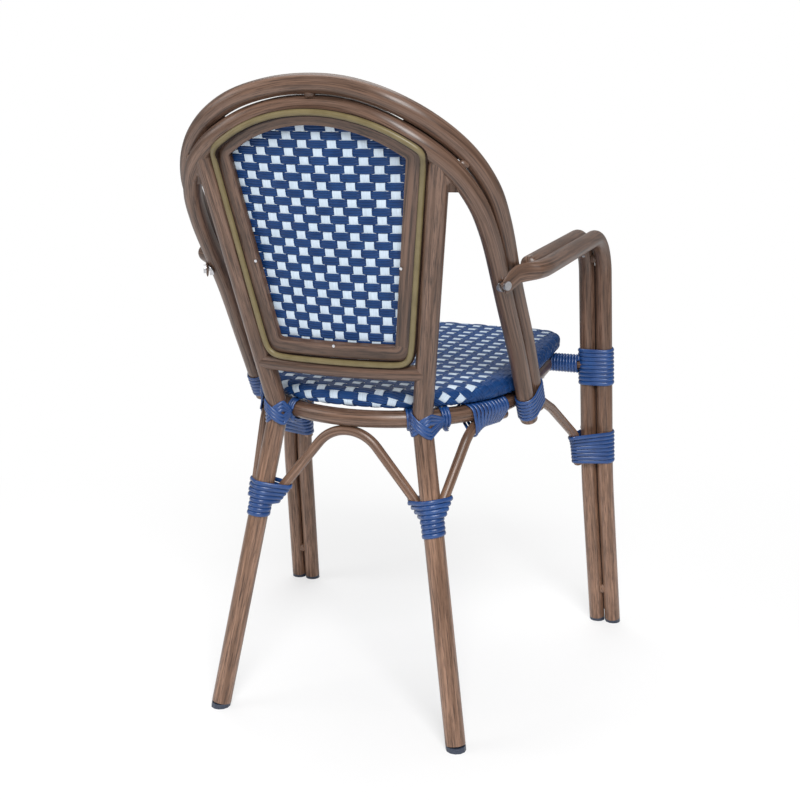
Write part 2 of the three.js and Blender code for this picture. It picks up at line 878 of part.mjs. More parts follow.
const rim = seatThickness / 2 - fit;
const slab = plate(flatOutline(seatLoop(rim)), seatThickness, rim).translate(0, 0, seatBottom);
const pocket = plate(flatOutline(seatLoop(seatPocketInset)), seatThickness);
pocket.translate(0, 0, seatBottom - seatSheet);
const channel = loopTube(framePath, frameTube + fit, thinSides);
piece('seat_weave', cut(slab, channel, pocket, ...drills), weaveBlue, seatPlane);

// Front rail ends

const lashRoom = (radius) =>
  (radius + lashSlack + strandThickness) / Math.cos(Math.PI / loopSteps) + 3 * fit;
const ringWorld = outOf(seatPlane, loopTube(ringPath, ringRadius + fit));

function railPath(sign) {
  const from = spot(seatPlane, railStart * sign, railY, 0);
  const leg = nearest(innerLegPath(sign), from.z, sign);
  return new Stations([from, leg.clone().setY(from.y)]);
}

for (const [side, sign] of sides) {
  const leg = tube(innerLegPath(sign), lashRoom(legRadius));
  const body = tube(railPath(sign), railRadius);
  piece(`rail_end_${side}`, cut(body, ringWorld, leg), grain);
}

// Back: crossbar, panel frame and woven panel, all bowed back toward their middle

const postRooms = sides.map(([, sign]) => tube(postPath(sign), postRadius + fit));
const postsInPanel = postRooms.map((room) => into(backPlane, room));
const barHalf = postU(barV);

function barPath() {
  const list = [];
  for (let i = 0; i <= bowSteps; i++) {
    const u = barHalf * ((2 * i) / bowSteps - 1);
    list.push(at([u, barV, -bowed(barBack, u)]));
  }
  return new Stations(list);
}

const beadRoom = loopTube(beadPath, beadRadius + fit, thinSides);
const crossbar = tube(barPath(), barRadius);
piece('back_crossbar', cut(crossbar, beadRoom, ...postsInPanel), grain, backPlane);
piece('gold_bead', loopTube(beadPath, beadRadius, thinSides), gold, backPlane);

// a curved board: its back face bows like the rest, and it fills the outline's height
function bowedBoard(back, depth, outline) {
  const points = [];
  const half = postU(beadArch);
  const spread = (i) => half * ((2 * i) / bowSteps - 1);
  for (let i = 0; i <= bowSteps; i++) {
    points.push(new THREE.Vector2(spread(i), bowed(back - depth, spread(i))));
  }
  for (let i = bowSteps; i >= 0; i--) {
    points.push(new THREE.Vector2(spread(i), bowed(back, spread(i))));
  }
  const board = plate(points, backLength * 2).rotateX(-Math.PI / 2);
  const prism = plate(flatOutline(outline), 4 * bowHalf).translate(0, 0, -2 * bowHalf);
  return fromSolid(solid(board).intersect(solid(prism)));
}

const frameLoop = archLoop(
  postU(beadBottom) - beadInset + frameOut, beadBottom + frameLow,
  postU(beadTopV) - beadInset + frameOut, beadTopV + frameOut,
  beadArch + frameOut, beadBottomBend, beadTopBend,
);
const windowLoop = (grow) => archLoop(
  windowBottomHalf + grow, windowBottomV - grow, windowTopHalf + grow, windowTopV,
  windowArch + grow, windowBend + grow, windowBend + grow,
);
const windowHole = plate(flatOutline(windowLoop(0)), 4 * bowHalf).translate(0, 0, -2 * bowHalf);
const panelBlank = bowedBoard(frameBack, frameDepth, frameLoop);
const rebateHole = bowedBoard(frameBack - windowDepth, frameDepth, windowLoop(rebate));
piece('back_weave',
  bowedBoard(frameBack - windowDepth - fit, backWeaveThickness, windowLoop(rebate - fit)),
  weaveBlue, backPlane);

const windowHalf = windowBottomHalf
  + ((windowTopHalf - windowBottomHalf) * (panelScrewV - windowBottomV)) / (windowTopV - windowBottomV);
const panelScrewSpots = [
  ['left', windowHalf + panelScrewHead + fit, panelScrewV],
  ['right', -windowHalf - panelScrewHead - fit, panelScrewV],
  ['bottom', panelScrewU, windowBottomV - panelScrewHead - fit],
];
const frontward = new THREE.Vector3(0, 0, 1);
const panelDrills = panelScrewSpots.map(([name, u, v]) => {
  const edge = Math.abs(u) + panelScrewHead;
  const reach = bowed(frameBack, Math.abs(u) - panelScrewHead) + fit;
  const seat = at([u, v, -reach]);
  const depth = panelScrewDepth + reach - bowed(frameBack, edge);
  const head = pin(seat, frontward.clone().negate(), panelScrewHeadHeight, panelScrewHead);
  const start = seat.clone().addScaledVector(frontward, -fit);
  const shank = pin(start, frontward, depth, panelScrewRadius);
  piece(`panel_screw_${name}`, joined(head, shank), steel, backPlane);
  return pin(start, frontward, depth + fit, panelScrewRadius + fit);
});
const hoopInPanel = into(backPlane, tube(innerHoop, hoopRadius + fit));
const barInPanel = tube(barPath(), barRadius + fit);
piece(
  'panel_frame',
  cut(panelBlank, windowHole, rebateHole, beadRoom, hoopInPanel, barInPanel,
    ...postsInPanel, ...panelDrills),
  grain, backPlane,
);

// Braces

const braceTube = (path) => tube(path, braceRadius, 0, thinSides);

function rearBracePath() {
  const left = at([rearBraceEnd[0], rearBraceY, ringHeight - rearBraceEnd[1]]);
  const right = at([rearBraceEnd[0], rearBraceY, ringHeight - rearBraceEnd[1]], -1);
  return bentLine([left, at([0, rearBraceY, ringHeight + rearBraceAboveRing]), right], [rearBraceBend]);
}

const legLashRooms = sides.map(([, sign]) => tube(postPath(sign), lashRoom(postRadius)));
piece('rear_brace', cut(braceTube(rearBracePath()), ringWorld, ...legLashRooms), grain);

const sideBracePath = (sign) => bentLine(
  sideBraceStops.map((p) => belowRing(p, sign)), [sideBraceBend],
);
const frontBraceLine = (sign) => bentLine(
  frontBraceStops.map((p) => belowRing(p, sign)), frontBraceBends,
);

sides.forEach(([side, sign], i) => {
  const body = braceTube(sideBracePath(sign));
  piece(`side_brace_rear_${side}`, cut(body, ringWorld, legLashRooms[i]), grain);
  const hoopRoom = tube(outerHoop, lashRoom(hoopRadius));
  const legRoom = tube(innerLegPath(sign), legRadius + fit);
  const front = braceTube(frontBraceLine(sign));
  piece(`side_brace_front_${side}`, cut(front, hoopRoom, ringWorld, legRoom), grain);
});

// Lashings: a flat strand wound round the tubes that it binds

class StrandPath extends Stations {
  constructor(points, outward) {
    super(points);
    this.outward = outward;
  }

  computeFrenetFrames() {
    const last = this.points.length - 1;
    const tangents = this.points.map((p, i) => this.getTangentAt(i / last));
    const normals = this.outward.map((n, i) => n.clone().projectOnPlane(tangents[i]).normalize());
    const binormals = tangents.map((t, i) => t.clone().cross(normals[i]));
    return { tangents, normals, binormals };
  }
}

// where a tube passes through a plane, nearest to the plane's middle
function passing([path, radius], origin, normal) {
  const list = path.points;
  let best = null;
  for (let i = 0; i < list.length - 1; i++) {
    const a = list[i].clone().sub(origin).dot(normal);
    const b = list[i + 1].clone().sub(origin).dot(normal);
    if (a * b > 0 || a === b) continue;
    const centre = list[i].clone().lerp(list[i + 1], a / (a - b));
    const away = centre.distanceTo(origin);
    const heading = list[i + 1].clone().sub(list[i]).normalize();
    if (!best || away < best.away) best = { centre, heading, away, radius };
  }
  return best && best.away < clearOut * 2 ? best : null;
}

// how far the tube's cut section reaches from the origin in one direction of the plane
function reachOf(section, origin, way, normal) {
  const lean = section.heading.clone().projectOnPlane(normal);
  const stretch = 1 - lean.lengthSq();
  const across = lean.dot(way) ** 2 / stretch;
  return section.centre.clone().sub(origin).dot(way) + section.radius * Math.sqrt(1 + across);
}

// the turns lie on the hull of the tubes: flats that touch it in a fan of directions
function strandLine(tubes, from, axis, runs, slack, gap) {
  const e1 = new THREE.Vector3(1, 0, 0).projectOnPlane(axis);
  if (e1.length() < bendStep) e1.set(0, 1, 0).projectOnPlane(axis);
  e1.normalize();
  const e2 = axis.clone().cross(e1);
  const wayOf = (a) => e1.clone().multiplyScalar(Math.cos(a)).addScaledVector(e2, Math.sin(a));
  const sectionsAt = (height) => {
    const origin = from.clone().addScaledVector(axis, height);
    const found = tubes.map((t) => passing(t, origin, axis)).filter((s) => s);
    return { origin, found };
  };
  const widest = ({ origin, found }, way) => {
    const list = found.map((s) => reachOf(s, origin, way, axis));
    return { reach: Math.max(...list), which: list.indexOf(Math.max(...list)) };
  };

  const turns = [];
  runs.forEach((count, i) => {
    if (i > 0) turns.push(strandPitch + gap);
    for (let k = 0; k < count; k++) turns.push(strandPitch);
  });
  const flats = [];
  let climb = 0;
  turns.forEach((rise, turn) => {
    const here = sectionsAt(climb + rise / 2);
    const angles = [];
    for (let k = 0; k < scanSteps; k++) {
      const a = (2 * Math.PI * k) / scanSteps;
      const b = (2 * Math.PI * (k + 1)) / scanSteps;
      if (widest(here, wayOf(a)).which !== widest(here, wayOf(b)).which) angles.push((a + b) / 2);
    }
    for (let k = 0; k < loopSteps; k++) {
      const a = (2 * Math.PI * k) / loopSteps;
      if (!angles.some((b) => Math.abs(a - b) < bendStep / 2)) angles.push(a);
    }
    angles.sort((a, b) => a - b);
    for (const a of angles) {
      const height = climb + (rise * a) / (2 * Math.PI);
      const half = strandWidth / 2 + rise / loopSteps;
      const heights = [-1, 0, 1].map((side) => height + side * half);
      const reach = Math.max(...heights.map((h) => widest(sectionsAt(h), wayOf(a)).reach));
      flats.push({ a: a + turn * 2 * Math.PI, height, reach: reach + slack + strandThickness / 2 });
    }
    climb += rise;
  });
  const points = [];
  const outward = [];
  for (let i = 0; i + 1 < flats.length; i++) {
    const [p, q] = [flats[i], flats[i + 1]];
    const turn = q.a - p.a;
    const along = (q.reach - p.reach * Math.cos(turn)) / Math.sin(turn);
    const point = from.clone().addScaledVector(axis, (p.height + q.height) / 2);
    point.addScaledVector(wayOf(p.a), p.reach).addScaledVector(wayOf(p.a + Math.PI / 2), along);
    points.push(point);
    outward.push(wayOf((p.a + q.a) / 2));
  }
  return new StrandPath(points, outward);
}

// the least space between one turn's edge and the next one's
function leastGap(path) {
  const frames = path.computeFrenetFrames();
  const edge = (i, way) =>
    path.points[i].clone().addScaledVector(frames.binormals[i], (way * strandWidth) / 2);
  const near = new THREE.Vector3();
  let least = Infinity;
  path.points.forEach((p, i) => {
    for (let j = i + loopSteps - 1; j + 1 < path.points.length; j++) {
      for (const way of [1, -1]) {
        const run = new THREE.Line3(edge(j, -way), edge(j + 1, -way));
        const from = edge(i, way);
        least = Math.min(least, run.closestPointToPoint(from, true, near).distanceTo(from));
      }
    }
  });
  return least;
}

// both sides' lashings: the right one mirrors the left
function lashing(name, tubes, from, axis, runs, slack = lashSlack, gap = 0) {
  const path = strandLine(tubes, from, axis, runs, slack, gap);
  const w = strandWidth / 2;
  const t = strandThickness / 2;
  const section = [[-t, -w], [t, -w], [t, w], [-t, w]].map(([x, y]) => new THREE.Vector2(x, y));
  const steps = path.points.length - 1;
  const body = new THREE.ExtrudeGeometry(new THREE.Shape(section), { steps, extrudePath: path });
  piece(`${name}_left`, body, navy);
  piece(`${name}_right`, body.clone().scale(-1, 1, 1), navy);
  console.log(`${name}: least gap between turns ${leastGap(path).toFixed(2)} mm`);
}

const worldRing = new Stations(
  ringPath.points.map((p) => p.clone().applyMatrix4(seatPlane.matrixWorld)),
);

function legLashings() {
  const post = postPath(1);
  const height = ringHeight - rearLashBelowRing;
  const low = nearest(post, height, 1);
  const postAxis = nearest(post, height + clearOut, 1).sub(low).normalize();
  lashing('lash_rear_leg', [[post, postRadius]], low, postAxis, rearLashRuns);

  const outer = outerLegPath(1);
  const inner = innerLegPath(1);
  const pair = [[outer, legRadius], [inner, legRadius]];
  const brace = [frontBraceLine(1), braceRadius];
  lashing('lash_front_lower', [...pair, brace],
    nearest(inner, ringHeight - frontLashBelowRing, 1), up, frontLashRuns, braceSlack);
  lashing('lash_front_upper', pair,
    nearest(inner, ringHeight - upperLashBelowRing, 1), up, upperLashRuns, lashSlack, upperLashGap);

  const ringFrom = belowRing(ringLashFrom);
  const ringAxis = belowRing(ringLashTo).sub(ringFrom).normalize();
  lashing('lash_ring_brace',
    [[worldRing, ringRadius], [sideBracePath(1), braceRadius]], ringFrom, ringAxis, ringLashRuns,
    ringSlack);

  const rail = railPath(1);
  const railAxis = new THREE.Vector3(1, 0, 0);
  const railFrom = rail.points[0].clone().setX(railLashFrom);
  lashing('lash_rail_end', [[rail, railRadius]], railFrom, railAxis, railLashRuns);
}

// the hoops' feet are bound together, and the seat ring beside each rear post
function ringLashings() {
  const height = ringHeight + outerHoopSide[0][2];
  const foot = nearest(outerHoop, height, 1);
  const above = nearest(outerHoop, height + clearOut, 1);
  const footAxis = above.clone().sub(foot).normalize();
  const footFrom = foot.clone().addScaledVector(footAxis, footLashLead);
  lashing('lash_hoop_foot', [[outerHoop, hoopRadius], [innerHoop, hoopRadius]],
    footFrom, footAxis, footLashRuns);

  const from = ringSpot('x', postLashFrom).applyMatrix4(seatPlane.matrixWorld);
  const to = ringSpot('x', postLashTo).applyMatrix4(seatPlane.matrixWorld);
  lashing('lash_post', [[worldRing, ringRadius]], from, to.sub(from).normalize(), postLashRuns);
}

legLashings();
ringLashings();

const centre = new THREE.Box3().setFromObject(chair, true).getCenter(new THREE.Vector3());
chair.position.y = -centre.y;

export default chair;
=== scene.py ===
import math

import bpy
import numpy as np
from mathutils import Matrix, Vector


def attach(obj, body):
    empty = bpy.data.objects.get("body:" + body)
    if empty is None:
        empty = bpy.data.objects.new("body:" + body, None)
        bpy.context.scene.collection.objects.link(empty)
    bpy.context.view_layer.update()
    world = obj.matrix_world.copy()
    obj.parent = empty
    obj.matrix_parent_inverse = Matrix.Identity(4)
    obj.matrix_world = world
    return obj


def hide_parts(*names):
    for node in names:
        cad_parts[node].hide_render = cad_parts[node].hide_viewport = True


# Bistro armchair of grained tube with woven seat and back.
# Sizes are in millimetres, and at() and MM make metres of them.

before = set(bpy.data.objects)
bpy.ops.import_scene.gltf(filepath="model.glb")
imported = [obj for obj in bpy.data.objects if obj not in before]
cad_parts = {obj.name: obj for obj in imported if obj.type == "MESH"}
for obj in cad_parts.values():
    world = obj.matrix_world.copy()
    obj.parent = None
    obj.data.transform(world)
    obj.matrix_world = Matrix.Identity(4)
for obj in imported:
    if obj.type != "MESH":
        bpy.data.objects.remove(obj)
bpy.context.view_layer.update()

MM = 0.001
# the frame's origin is under the middle of the chair
MIDDLE_DEPTH = -24.69


def at(x, y, z, side=1):
    return Vector((x * side, y + MIDDLE_DEPTH, z)) * MM


# Tubes
HOOP_RADIUS = 12.5
LEG_RADIUS = 12.5
POST_RADIUS = 14
RING_RADIUS = 12
BAR_RADIUS = 11
BRACE_RADIUS = 7
RAIL_RADIUS = 8
TUBE_WALL = 2
FOOT_CAP = 7.25
TUBE_SIDES = 28

# Parts of each bend, and the steps of the straight runs, in the tubes' middle lines
POST_PARTS = 12
POST_STEP = 60
LEG_PARTS = 14
OUTER_LEG_STEP = 6
INNER_LEG_STEP = 30
RING_PARTS = (24, 24, 10, 10)
RING_STEP = 40
BAR_STEPS = 20
REAR_BRACE_PARTS = 24
SIDE_BRACE_PARTS = 16
FRONT_BRACE_PARTS = 12
RAIL_STEPS = 6

# Rear legs and posts
POST_FOOT = (180, 250, 0)
POST_KNEE = (106.5, 186.5, 436)
POST_TOP = (159, 277, 788)
KNEE_BEND = 90

# Hoops: one side of the outer one, and the way from it to the inner one
OUTER_HOOP = (
    (215, 5, 426), (215, 66, 526), (212, 127, 619), (214, 195, 710), (209, 229, 754),
    (188, 259, 796), (152, 285, 831), (105, 301, 857.5), (52, 301, 873), (0, 298, 877.5),
)
HOOP_PAIR = (
    (-0.15, 0.84, -0.54), (-0.2, 0.81, -0.54), (-0.22, 0.79, -0.56), (-0.36, 0.73, -0.56),
    (-0.48, 0.63, -0.61), (-0.49, 0.48, -0.71), (-0.48, 0.22, -0.83), (-0.4, -0.16, -0.89),
    (-0.2, -0.32, -0.93), (0, -0.34, -0.94),
)
HOOP_SPACING = 26.4
HOOP_STATIONS = 150
MOUTH_DEPTH = 40
MOUTH_EDGE = 0.6

# Front legs and arms
PAIR_MIDDLE = 277
PAIR_LEAN = 0.0455
PAIR_SPACING = 26
FRONT_FOOT_Y = -253
FRONT_KNEE_Y = -201.5
FRONT_KNEE_Z = 270
FRONT_KNEE_BEND = 450
ARM_HEIGHT = 655
ARM_BEND = 60
ARM_REAR_X = 250
ARM_REAR_HEIGHT = 642
ARM_REAR_BEND = 70
BOLT_HEIGHT = 626
TAB_YAW = math.radians(29.4)
TAB_LEAD = 15
TAB_TAIL = 13
TAB_RISE = 13
TAB_SINK = 2
TAB_BEND = 12
TAB_THICKNESS = 4
TAB_NARROW = 0.5
WASHER_THICKNESS = 1.6
FIT = 0.25
FLAT_START = 34
FLAT_RUN = 22
INNER_ARM_END = 96
# the outer arm's rear bend starts behind this place
ARM_BEND_Y = 60
# how far from the tab's start the squeezed end may reach
TAB_REACH = 80
DOME_HEIGHT = 7
DOME_STEPS = (0.35, 0.65, 0.85, 0.97)

# Seat ring and seat, in the seat's own tilted plane
SEAT_TILT = math.radians(2)
RING_HEIGHT = 441.6
RING_REAR = 191.9
RING_REAR_HALF = 197.1
RING_FRONT = -210
RING_FRONT_HALF = 179.1
RING_REAR_BEND = 0.949 * RING_REAR_HALF
RING_FRONT_BEND = 45
SEAT_REAR = 197
SEAT_REAR_HALF = 210
SEAT_FRONT = -247
SEAT_FRONT_MIDDLE = -258
SEAT_FRONT_HALF = 195.5
SEAT_REAR_BEND = 0.915 * SEAT_REAR_HALF
SEAT_FRONT_BEND = 38
SEAT_BOW = 1200
SEAT_THICKNESS = 26
SEAT_RISE = 3.8

# Back panel, measured from the post's knee along the slope of the back
BAR_V = 76.5
BAR_BACK = 11
BOW_DEPTH = 11.5
BOW_HALF = 145
BEAD_RADIUS = 4
BEAD_INSET = 17
BEAD_BACK = 18.5
BEAD_BOTTOM = 90
BEAD_TOP = 374
BEAD_ARCH = 426
BEAD_BOTTOM_BEND = 20
BEAD_TOP_BEND = 16
ARCH_SHARE = 1.93
ARCH_PARTS = (8, 8, 8, 40, 8)
# steps of each straight run, by the number of the loop's point that it starts at
LOOP_RUNS = {8: 16, 17: 24, 26: 3, 67: 3, 76: 24}
BEAD_CLEAR = 15
BEAD_SMOOTHING = 6
LIFT_STEPS = 40
BEAD_SIDES = 16
FRAME_OUT = 5
FRAME_LOW = 5.5
FRAME_BACK = 16.5
FRAME_DEPTH = 19
FRAME_EDGE = 1.6
FRAME_CROWN = 0.5
REBATE = 7
WINDOW_BOTTOM = 115.5
WINDOW_BOTTOM_HALF = 83.3
WINDOW_TOP = 367
WINDOW_TOP_HALF = 119.5
WINDOW_ARCH = 408.5
WINDOW_BEND = 4
WINDOW_DEPTH = 9

# Braces and rail stubs
REAR_BRACE_Y = 192
REAR_BRACE_APEX = 449
REAR_BRACE_END = (119, 302)
REAR_BRACE_BEND = 55
SIDE_BRACE = ((137, 207, 316), (157, 124, 424), (178, 40, 420))
SIDE_BRACE_BEND = 60
FRONT_BRACE = ((216, -14, 431), (222, -60, 408), (236, -166, 339), (236.2, -188.5, 289))
FRONT_BRACE_BEND = 60
RAIL_Y = -198
RAIL_START = 163

# Welds between the tubes
WELD_SIZE = 5
WELD_LENGTH = 1.5
WELD_SWELL = 1.2
WELD_RIPPLE = 0.08
WELD_LEAST = 0.03
WELD_STEPS = 10
WELD_SIDES = 14
TOP_WELD_LIFT = 5
SIDE_WELD_SIZE = 4.5
SIDE_WELD_HEIGHT = 789
LEG_WELD_LIFT = 6
LEG_WELD_HEIGHTS = (62, 617)

# Painted shade: dark strips laid in the creases between touching tubes, where shade falls, as
# (lowest, highest) or a length
CREASE_SHADE_RADIUS = 2.6
CREASE_SHADE_STEPS = 60
CREASE_SHADE_SIDES = 10
HIGH_SHADE_LENGTH = 46
LOW_SHADE = (434, 705)
LEG_SHADE = (22, 604)
# painted shade behind the bead: how far back the dark tube lies and how much wider than the bead
# it is, so that it shows as dark lines at both sides of the bead
BEAD_SHADE_DEPTH = 3.6
BEAD_SHADE_EDGE = 1.5

# Weld webs at the tops of the posts
WEB_LOW = 761
WEB_HIGH = 780
WEB_THICKNESS = 10.5
WEB_THIN = 0.62
WEB_FLARE = 3
WEB_SAG = 4.5
WEB_NOTCH = 9
WEB_NOTCH_MOST = 2.5
WEB_STEPS = 12
WEB_SIDES = 20

# Strands and the lashings wound with them
STRAND_WIDTH = 6.3
STRAND_THICKNESS = 1.9
STRAND_PITCH = 6.4
LASH_SLACK = 0.25
REAR_LASH_HEIGHTS = (286, 330)
REAR_LASH_TURNS = 8
LOW_LASH_HEIGHT = 293
LOW_LASH_TURNS = 8
HIGH_LASH_HEIGHT = 419
HIGH_LASH_TURNS = 9
BRACE_LASH_ENDS = ((151, 126, 437), (172, 60, 439))
BRACE_LASH_TURNS = 11
RAIL_LASH_START = 184
RAIL_LASH_TURNS = 10
RAIL_LASH_PITCH = 4.8
RAIL_LASH_SLACK = 4.2
RAIL_STRAND_WIDTH = 4.7
FOOT_LASH_HEIGHTS = (426.2, 466)
FOOT_LASH_START = 9
FOOT_LASH_TURNS = 6

# Post lashings: turns round the ring as (from, to, turns), and a cross over the post
POST_LASH_MIDDLE = 103
RING_TURNS = ((78.5, 92, 3), (117, 130, 3))
RING_PITCH = 4.4
RING_SLACK = 2.0
CROSS_HALF = 20
CROSS_SLOPE = 0.72
CROSS_DROP = 2
CROSS_STRANDS = 3
CROSS_SPACING = 5.2
CROSS_GATHER = 0.45
CROSS_WIDTH = 5.6
# the lower layer falls one way and the upper one the other: (way, height over the tube)
CROSS_LAYERS = ((1, 1), (-1, 2.6))
CROSS_SWEEP = 60
CROSS_STEP = 12
CROSS_PARTS = 4

SIDES = (("left", 1), ("right", -1))

# Camera, solved from the photograph's own perspective
CAMERA_PLACE = (-669.7, 1749.1, 876.5)
CAMERA_YAW = math.radians(20.851)
CAMERA_PITCH = math.radians(13.845)
CAMERA_LENS = 57.68

# Curves

NEARLY_UPRIGHT = 0.9


def bend(before, corner, after, radius, parts):
    """The points of one round bend at a corner."""
    back = (before - corner).normalized()
    on = (after - corner).normalized()
    opening = back.angle(on)
    turn = math.pi - opening
    centre = corner + (back + on).normalized() * (radius * MM / math.sin(opening / 2))
    start = corner + back * (radius * MM / math.tan(opening / 2))
    axis = on.cross(back).normalized()
    arm = start - centre
    points = []
    for step in range(parts + 1):
        angle = turn * step / parts
        turned = arm * math.cos(angle) + axis.cross(arm) * math.sin(angle)
        points.append(centre + turned)
    return points


def bent_line(corners, bends, parts):
    """A line of straight runs with one round bend at each inner corner."""
    points = [corners[0]]
    for i in range(1, len(corners) - 1):
        points += bend(corners[i - 1], corners[i], corners[i + 1], bends[i - 1], parts)
    points.append(corners[-1])
    return points


def bent_loop(corners, bends, parts):
    """A closed line with one round bend at each corner."""
    points = []
    count = len(corners)
    for i in range(count):
        before = corners[(i - 1) % count]
        after = corners[(i + 1) % count]
        points += bend(before, corners[i], after, bends[i], parts[i])
    return points


def divided(points, spacing, closed=False):
    """The same line with more points on its long runs."""
    ends = points[1:] + ([points[0]] if closed else [])
    result = []
    for a, b in zip(points, ends):
        steps = max(1, math.ceil((b - a).length / (spacing * MM)))
        result += [a.lerp(b, k / steps) for k in range(steps)]
    if not closed:
        result.append(points[-1])
    return result


def smooth_line(places, count):
    """A centripetal curve through places that mirror at their last one."""
    whole = list(places) + [Vector((-p.x, p.y, p.z)) for p in reversed(places[:-1])]
    last = len(whole) - 1
    result = []
    for step in range(count + 1):
        place = last * step / count
        i = min(int(place), last - 1)
        a = whole[i - 1] if i > 0 else whole[0] * 2 - whole[1]
        b, c = whole[i], whole[i + 1]
        d = whole[i + 2] if i + 2 <= last else whole[last] * 2 - whole[last - 1]
        t1 = (b - a).length ** 0.5
        t2 = (c - b).length ** 0.5
        t3 = (d - c).length ** 0.5
        m1 = ((b - a) / t1 - (c - a) / (t1 + t2) + (c - b) / t2) * t2
        m2 = ((c - b) / t2 - (d - b) / (t2 + t3) + (d - c) / t3) * t2
        s = place - i
        result.append(
            b * (2 * s ** 3 - 3 * s ** 2 + 1)
            + m1 * (s ** 3 - 2 * s ** 2 + s)
            + c * (3 * s ** 2 - 2 * s ** 3)
            + m2 * (s ** 3 - s ** 2)
        )
    return result


def frames(points, closed=False):
    """Two directions square to the line at each point, without twist."""
    count = len(points)
    tangents = []
    for i in range(count):
        a = points[(i - 1) % count] if closed or i > 0 else points[0]
        b = points[(i + 1) % count] if closed or i < count - 1 else points[-1]
        tangents.append((b - a).normalized())
    upright = abs(tangents[0].z) >= NEARLY_UPRIGHT
    start = Vector((0, 1, 0)) if upright else Vector((0, 0, 1))
    normal = (start - tangents[0] * start.dot(tangents[0])).normalized()
    normals = []
    for tangent in tangents:
        normal = (normal - tangent * normal.dot(tangent)).normalized()
        normals.append(normal)
    if closed:
        last = normals[-1] - tangents[0] * normals[-1].dot(tangents[0])
        drift = last.angle(normals[0])
        if last.cross(normals[0]).dot(tangents[0]) < 0:
            drift = -drift
        for i, tangent in enumerate(tangents):
            angle = drift * i / count
            side = tangent.cross(normals[i])
            normals[i] = normals[i] * math.cos(angle) + side * math.sin(angle)
    return [(n, t.cross(n)) for n, t in zip(normals, tangents)]


def at_height(points, height, side=1):
    """Where a line first passes a height on one side."""
    for a, b in zip(points, points[1:]):
        if (a.z - height * MM) * (b.z - height * MM) <= 0 and a.x * side > 0:
            return a.lerp(b, (height * MM - a.z) / (b.z - a.z))
    return None


# Meshes

SMOOTH_ANGLE = math.radians(40)


def new_piece(name, points, faces, uvs, look, replaced=()):
    """A mesh object of points and faces that takes its place in the chair."""
    mesh = bpy.data.meshes.new(name)
    mesh.from_pydata([p[:] for p in points], [], faces)
    layer = mesh.uv_layers.new(name="UVMap")
    for loop, uv in zip(layer.data, uvs):
        loop.uv = uv
    piece = bpy.data.objects.new(name, mesh)
    bpy.context.collection.objects.link(piece)
    mesh.materials.append(look)
    settle(piece)
    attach(piece, "root")
    if replaced:
        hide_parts(*replaced)
    return piece


def settle(piece):
    """Turns the faces outward and smooths all but the sharp edges."""
    bpy.ops.object.select_all(action="DESELECT")
    piece.select_set(True)
    bpy.context.view_layer.objects.active = piece
    bpy.ops.object.mode_set(mode="EDIT")
    bpy.ops.mesh.select_all(action="SELECT")
    bpy.ops.mesh.normals_make_consistent(inside=False)
    bpy.ops.object.mode_set(mode="OBJECT")
    bpy.ops.object.shade_smooth_by_angle(angle=SMOOTH_ANGLE)


class Skin:
    """Collects tubes of rings into one mesh, with a UV map in metres along them."""

    def __init__(self):
        self.points = []
        self.faces = []
        self.uvs = []

    def add(self, rings, closed=False, caps=True):
        base = len(self.points)
        size = len(rings[0])
        for ring in rings:
            self.points += ring
        lengths = [0.0]
        for a, b in zip(rings, rings[1:] + ([rings[0]] if closed else [])):
            middle = sum((q - p).length for p, q in zip(a, b)) / size
            lengths.append(lengths[-1] + middle)
        spans = len(rings) if closed else len(rings) - 1
        for i in range(spans):
            low = base + i * size
            high = base + ((i + 1) % len(rings)) * size
            for k in range(size):
                j = (k + 1) % size
                self.faces.append((low + k, low + j, high + j, high + k))
                u0, u1 = k / size, (k + 1) / size
                v0, v1 = lengths[i], lengths[i + 1]
                self.uvs += [(u0, v0), (u1, v0), (u1, v1), (u0, v1)]
        if caps and not closed:
            last = base + (len(rings) - 1) * size
            for first, v in ((base, lengths[0]), (last, lengths[-1])):
                self.faces.append(tuple(range(first, first + size)))
                self.uvs += [(k / size, v) for k in range(size)]

    def piece(self, name, look, slot, replaced=()):
        return new_piece(name, self.points, self.faces, self.uvs, look, replaced)


def swept(name, rings, look, slot, replaced=(), closed=False):
    """One piece made of one run of rings."""
    skin = Skin()
    skin.add(rings, closed=closed)
    return skin.piece(name, look, slot, replaced)


def ring_at(centre, normal, side, radius, count):
    result = []
    for k in range(count):
        angle = 2 * math.pi * (k + 0.5) / count
        way = normal * math.cos(angle) + side * math.sin(angle)
        result.append(centre + way * radius * MM)
    return result


def tube_rings(points, radius, count=TUBE_SIDES, closed=False):
    directions = frames(points, closed)
    return [ring_at(p, n, b, radius, count) for p, (n, b) in zip(points, directions)]


def mouth(points, radius):
    """The rings of an open tube end at the line's first point: bore, rim and outside."""
    normal, side = frames(points)[0]
    inward = (points[1] - points[0]).normalized()
    bore = radius - TUBE_WALL
    rows = (
        (MOUTH_DEPTH, bore), (MOUTH_EDGE, bore), (0, bore + MOUTH_EDGE),
        (0, radius - MOUTH_EDGE), (MOUTH_EDGE, radius),
    )
    return [
        ring_at(points[0] + inward * d * MM, normal, side, r, TUBE_SIDES) for d, r in rows
    ]


# The lines of the tubes, which follow the frame's own


def back_spot(u, v, w):
    """A point of the sloping back: across, up the slope, and back from it."""
    knee, top = at(*POST_KNEE), at(*POST_TOP)
    slope = Vector((0, top.y - knee.y, top.z - knee.z)).normalized()
    rearward = Vector((0, slope.z, -slope.y))
    knee.x = 0
    return knee + Vector((u * MM, 0, 0)) + slope * v * MM + rearward * w * MM


def seat_spot(x, y, z):
    """A point of the tilted seat plane, z above the ring's own middle."""
    turned_y = y * math.cos(SEAT_TILT) + z * math.sin(SEAT_TILT)
    turned_z = z * math.cos(SEAT_TILT) - y * math.sin(SEAT_TILT)
    return at(x, turned_y, RING_HEIGHT + turned_z)


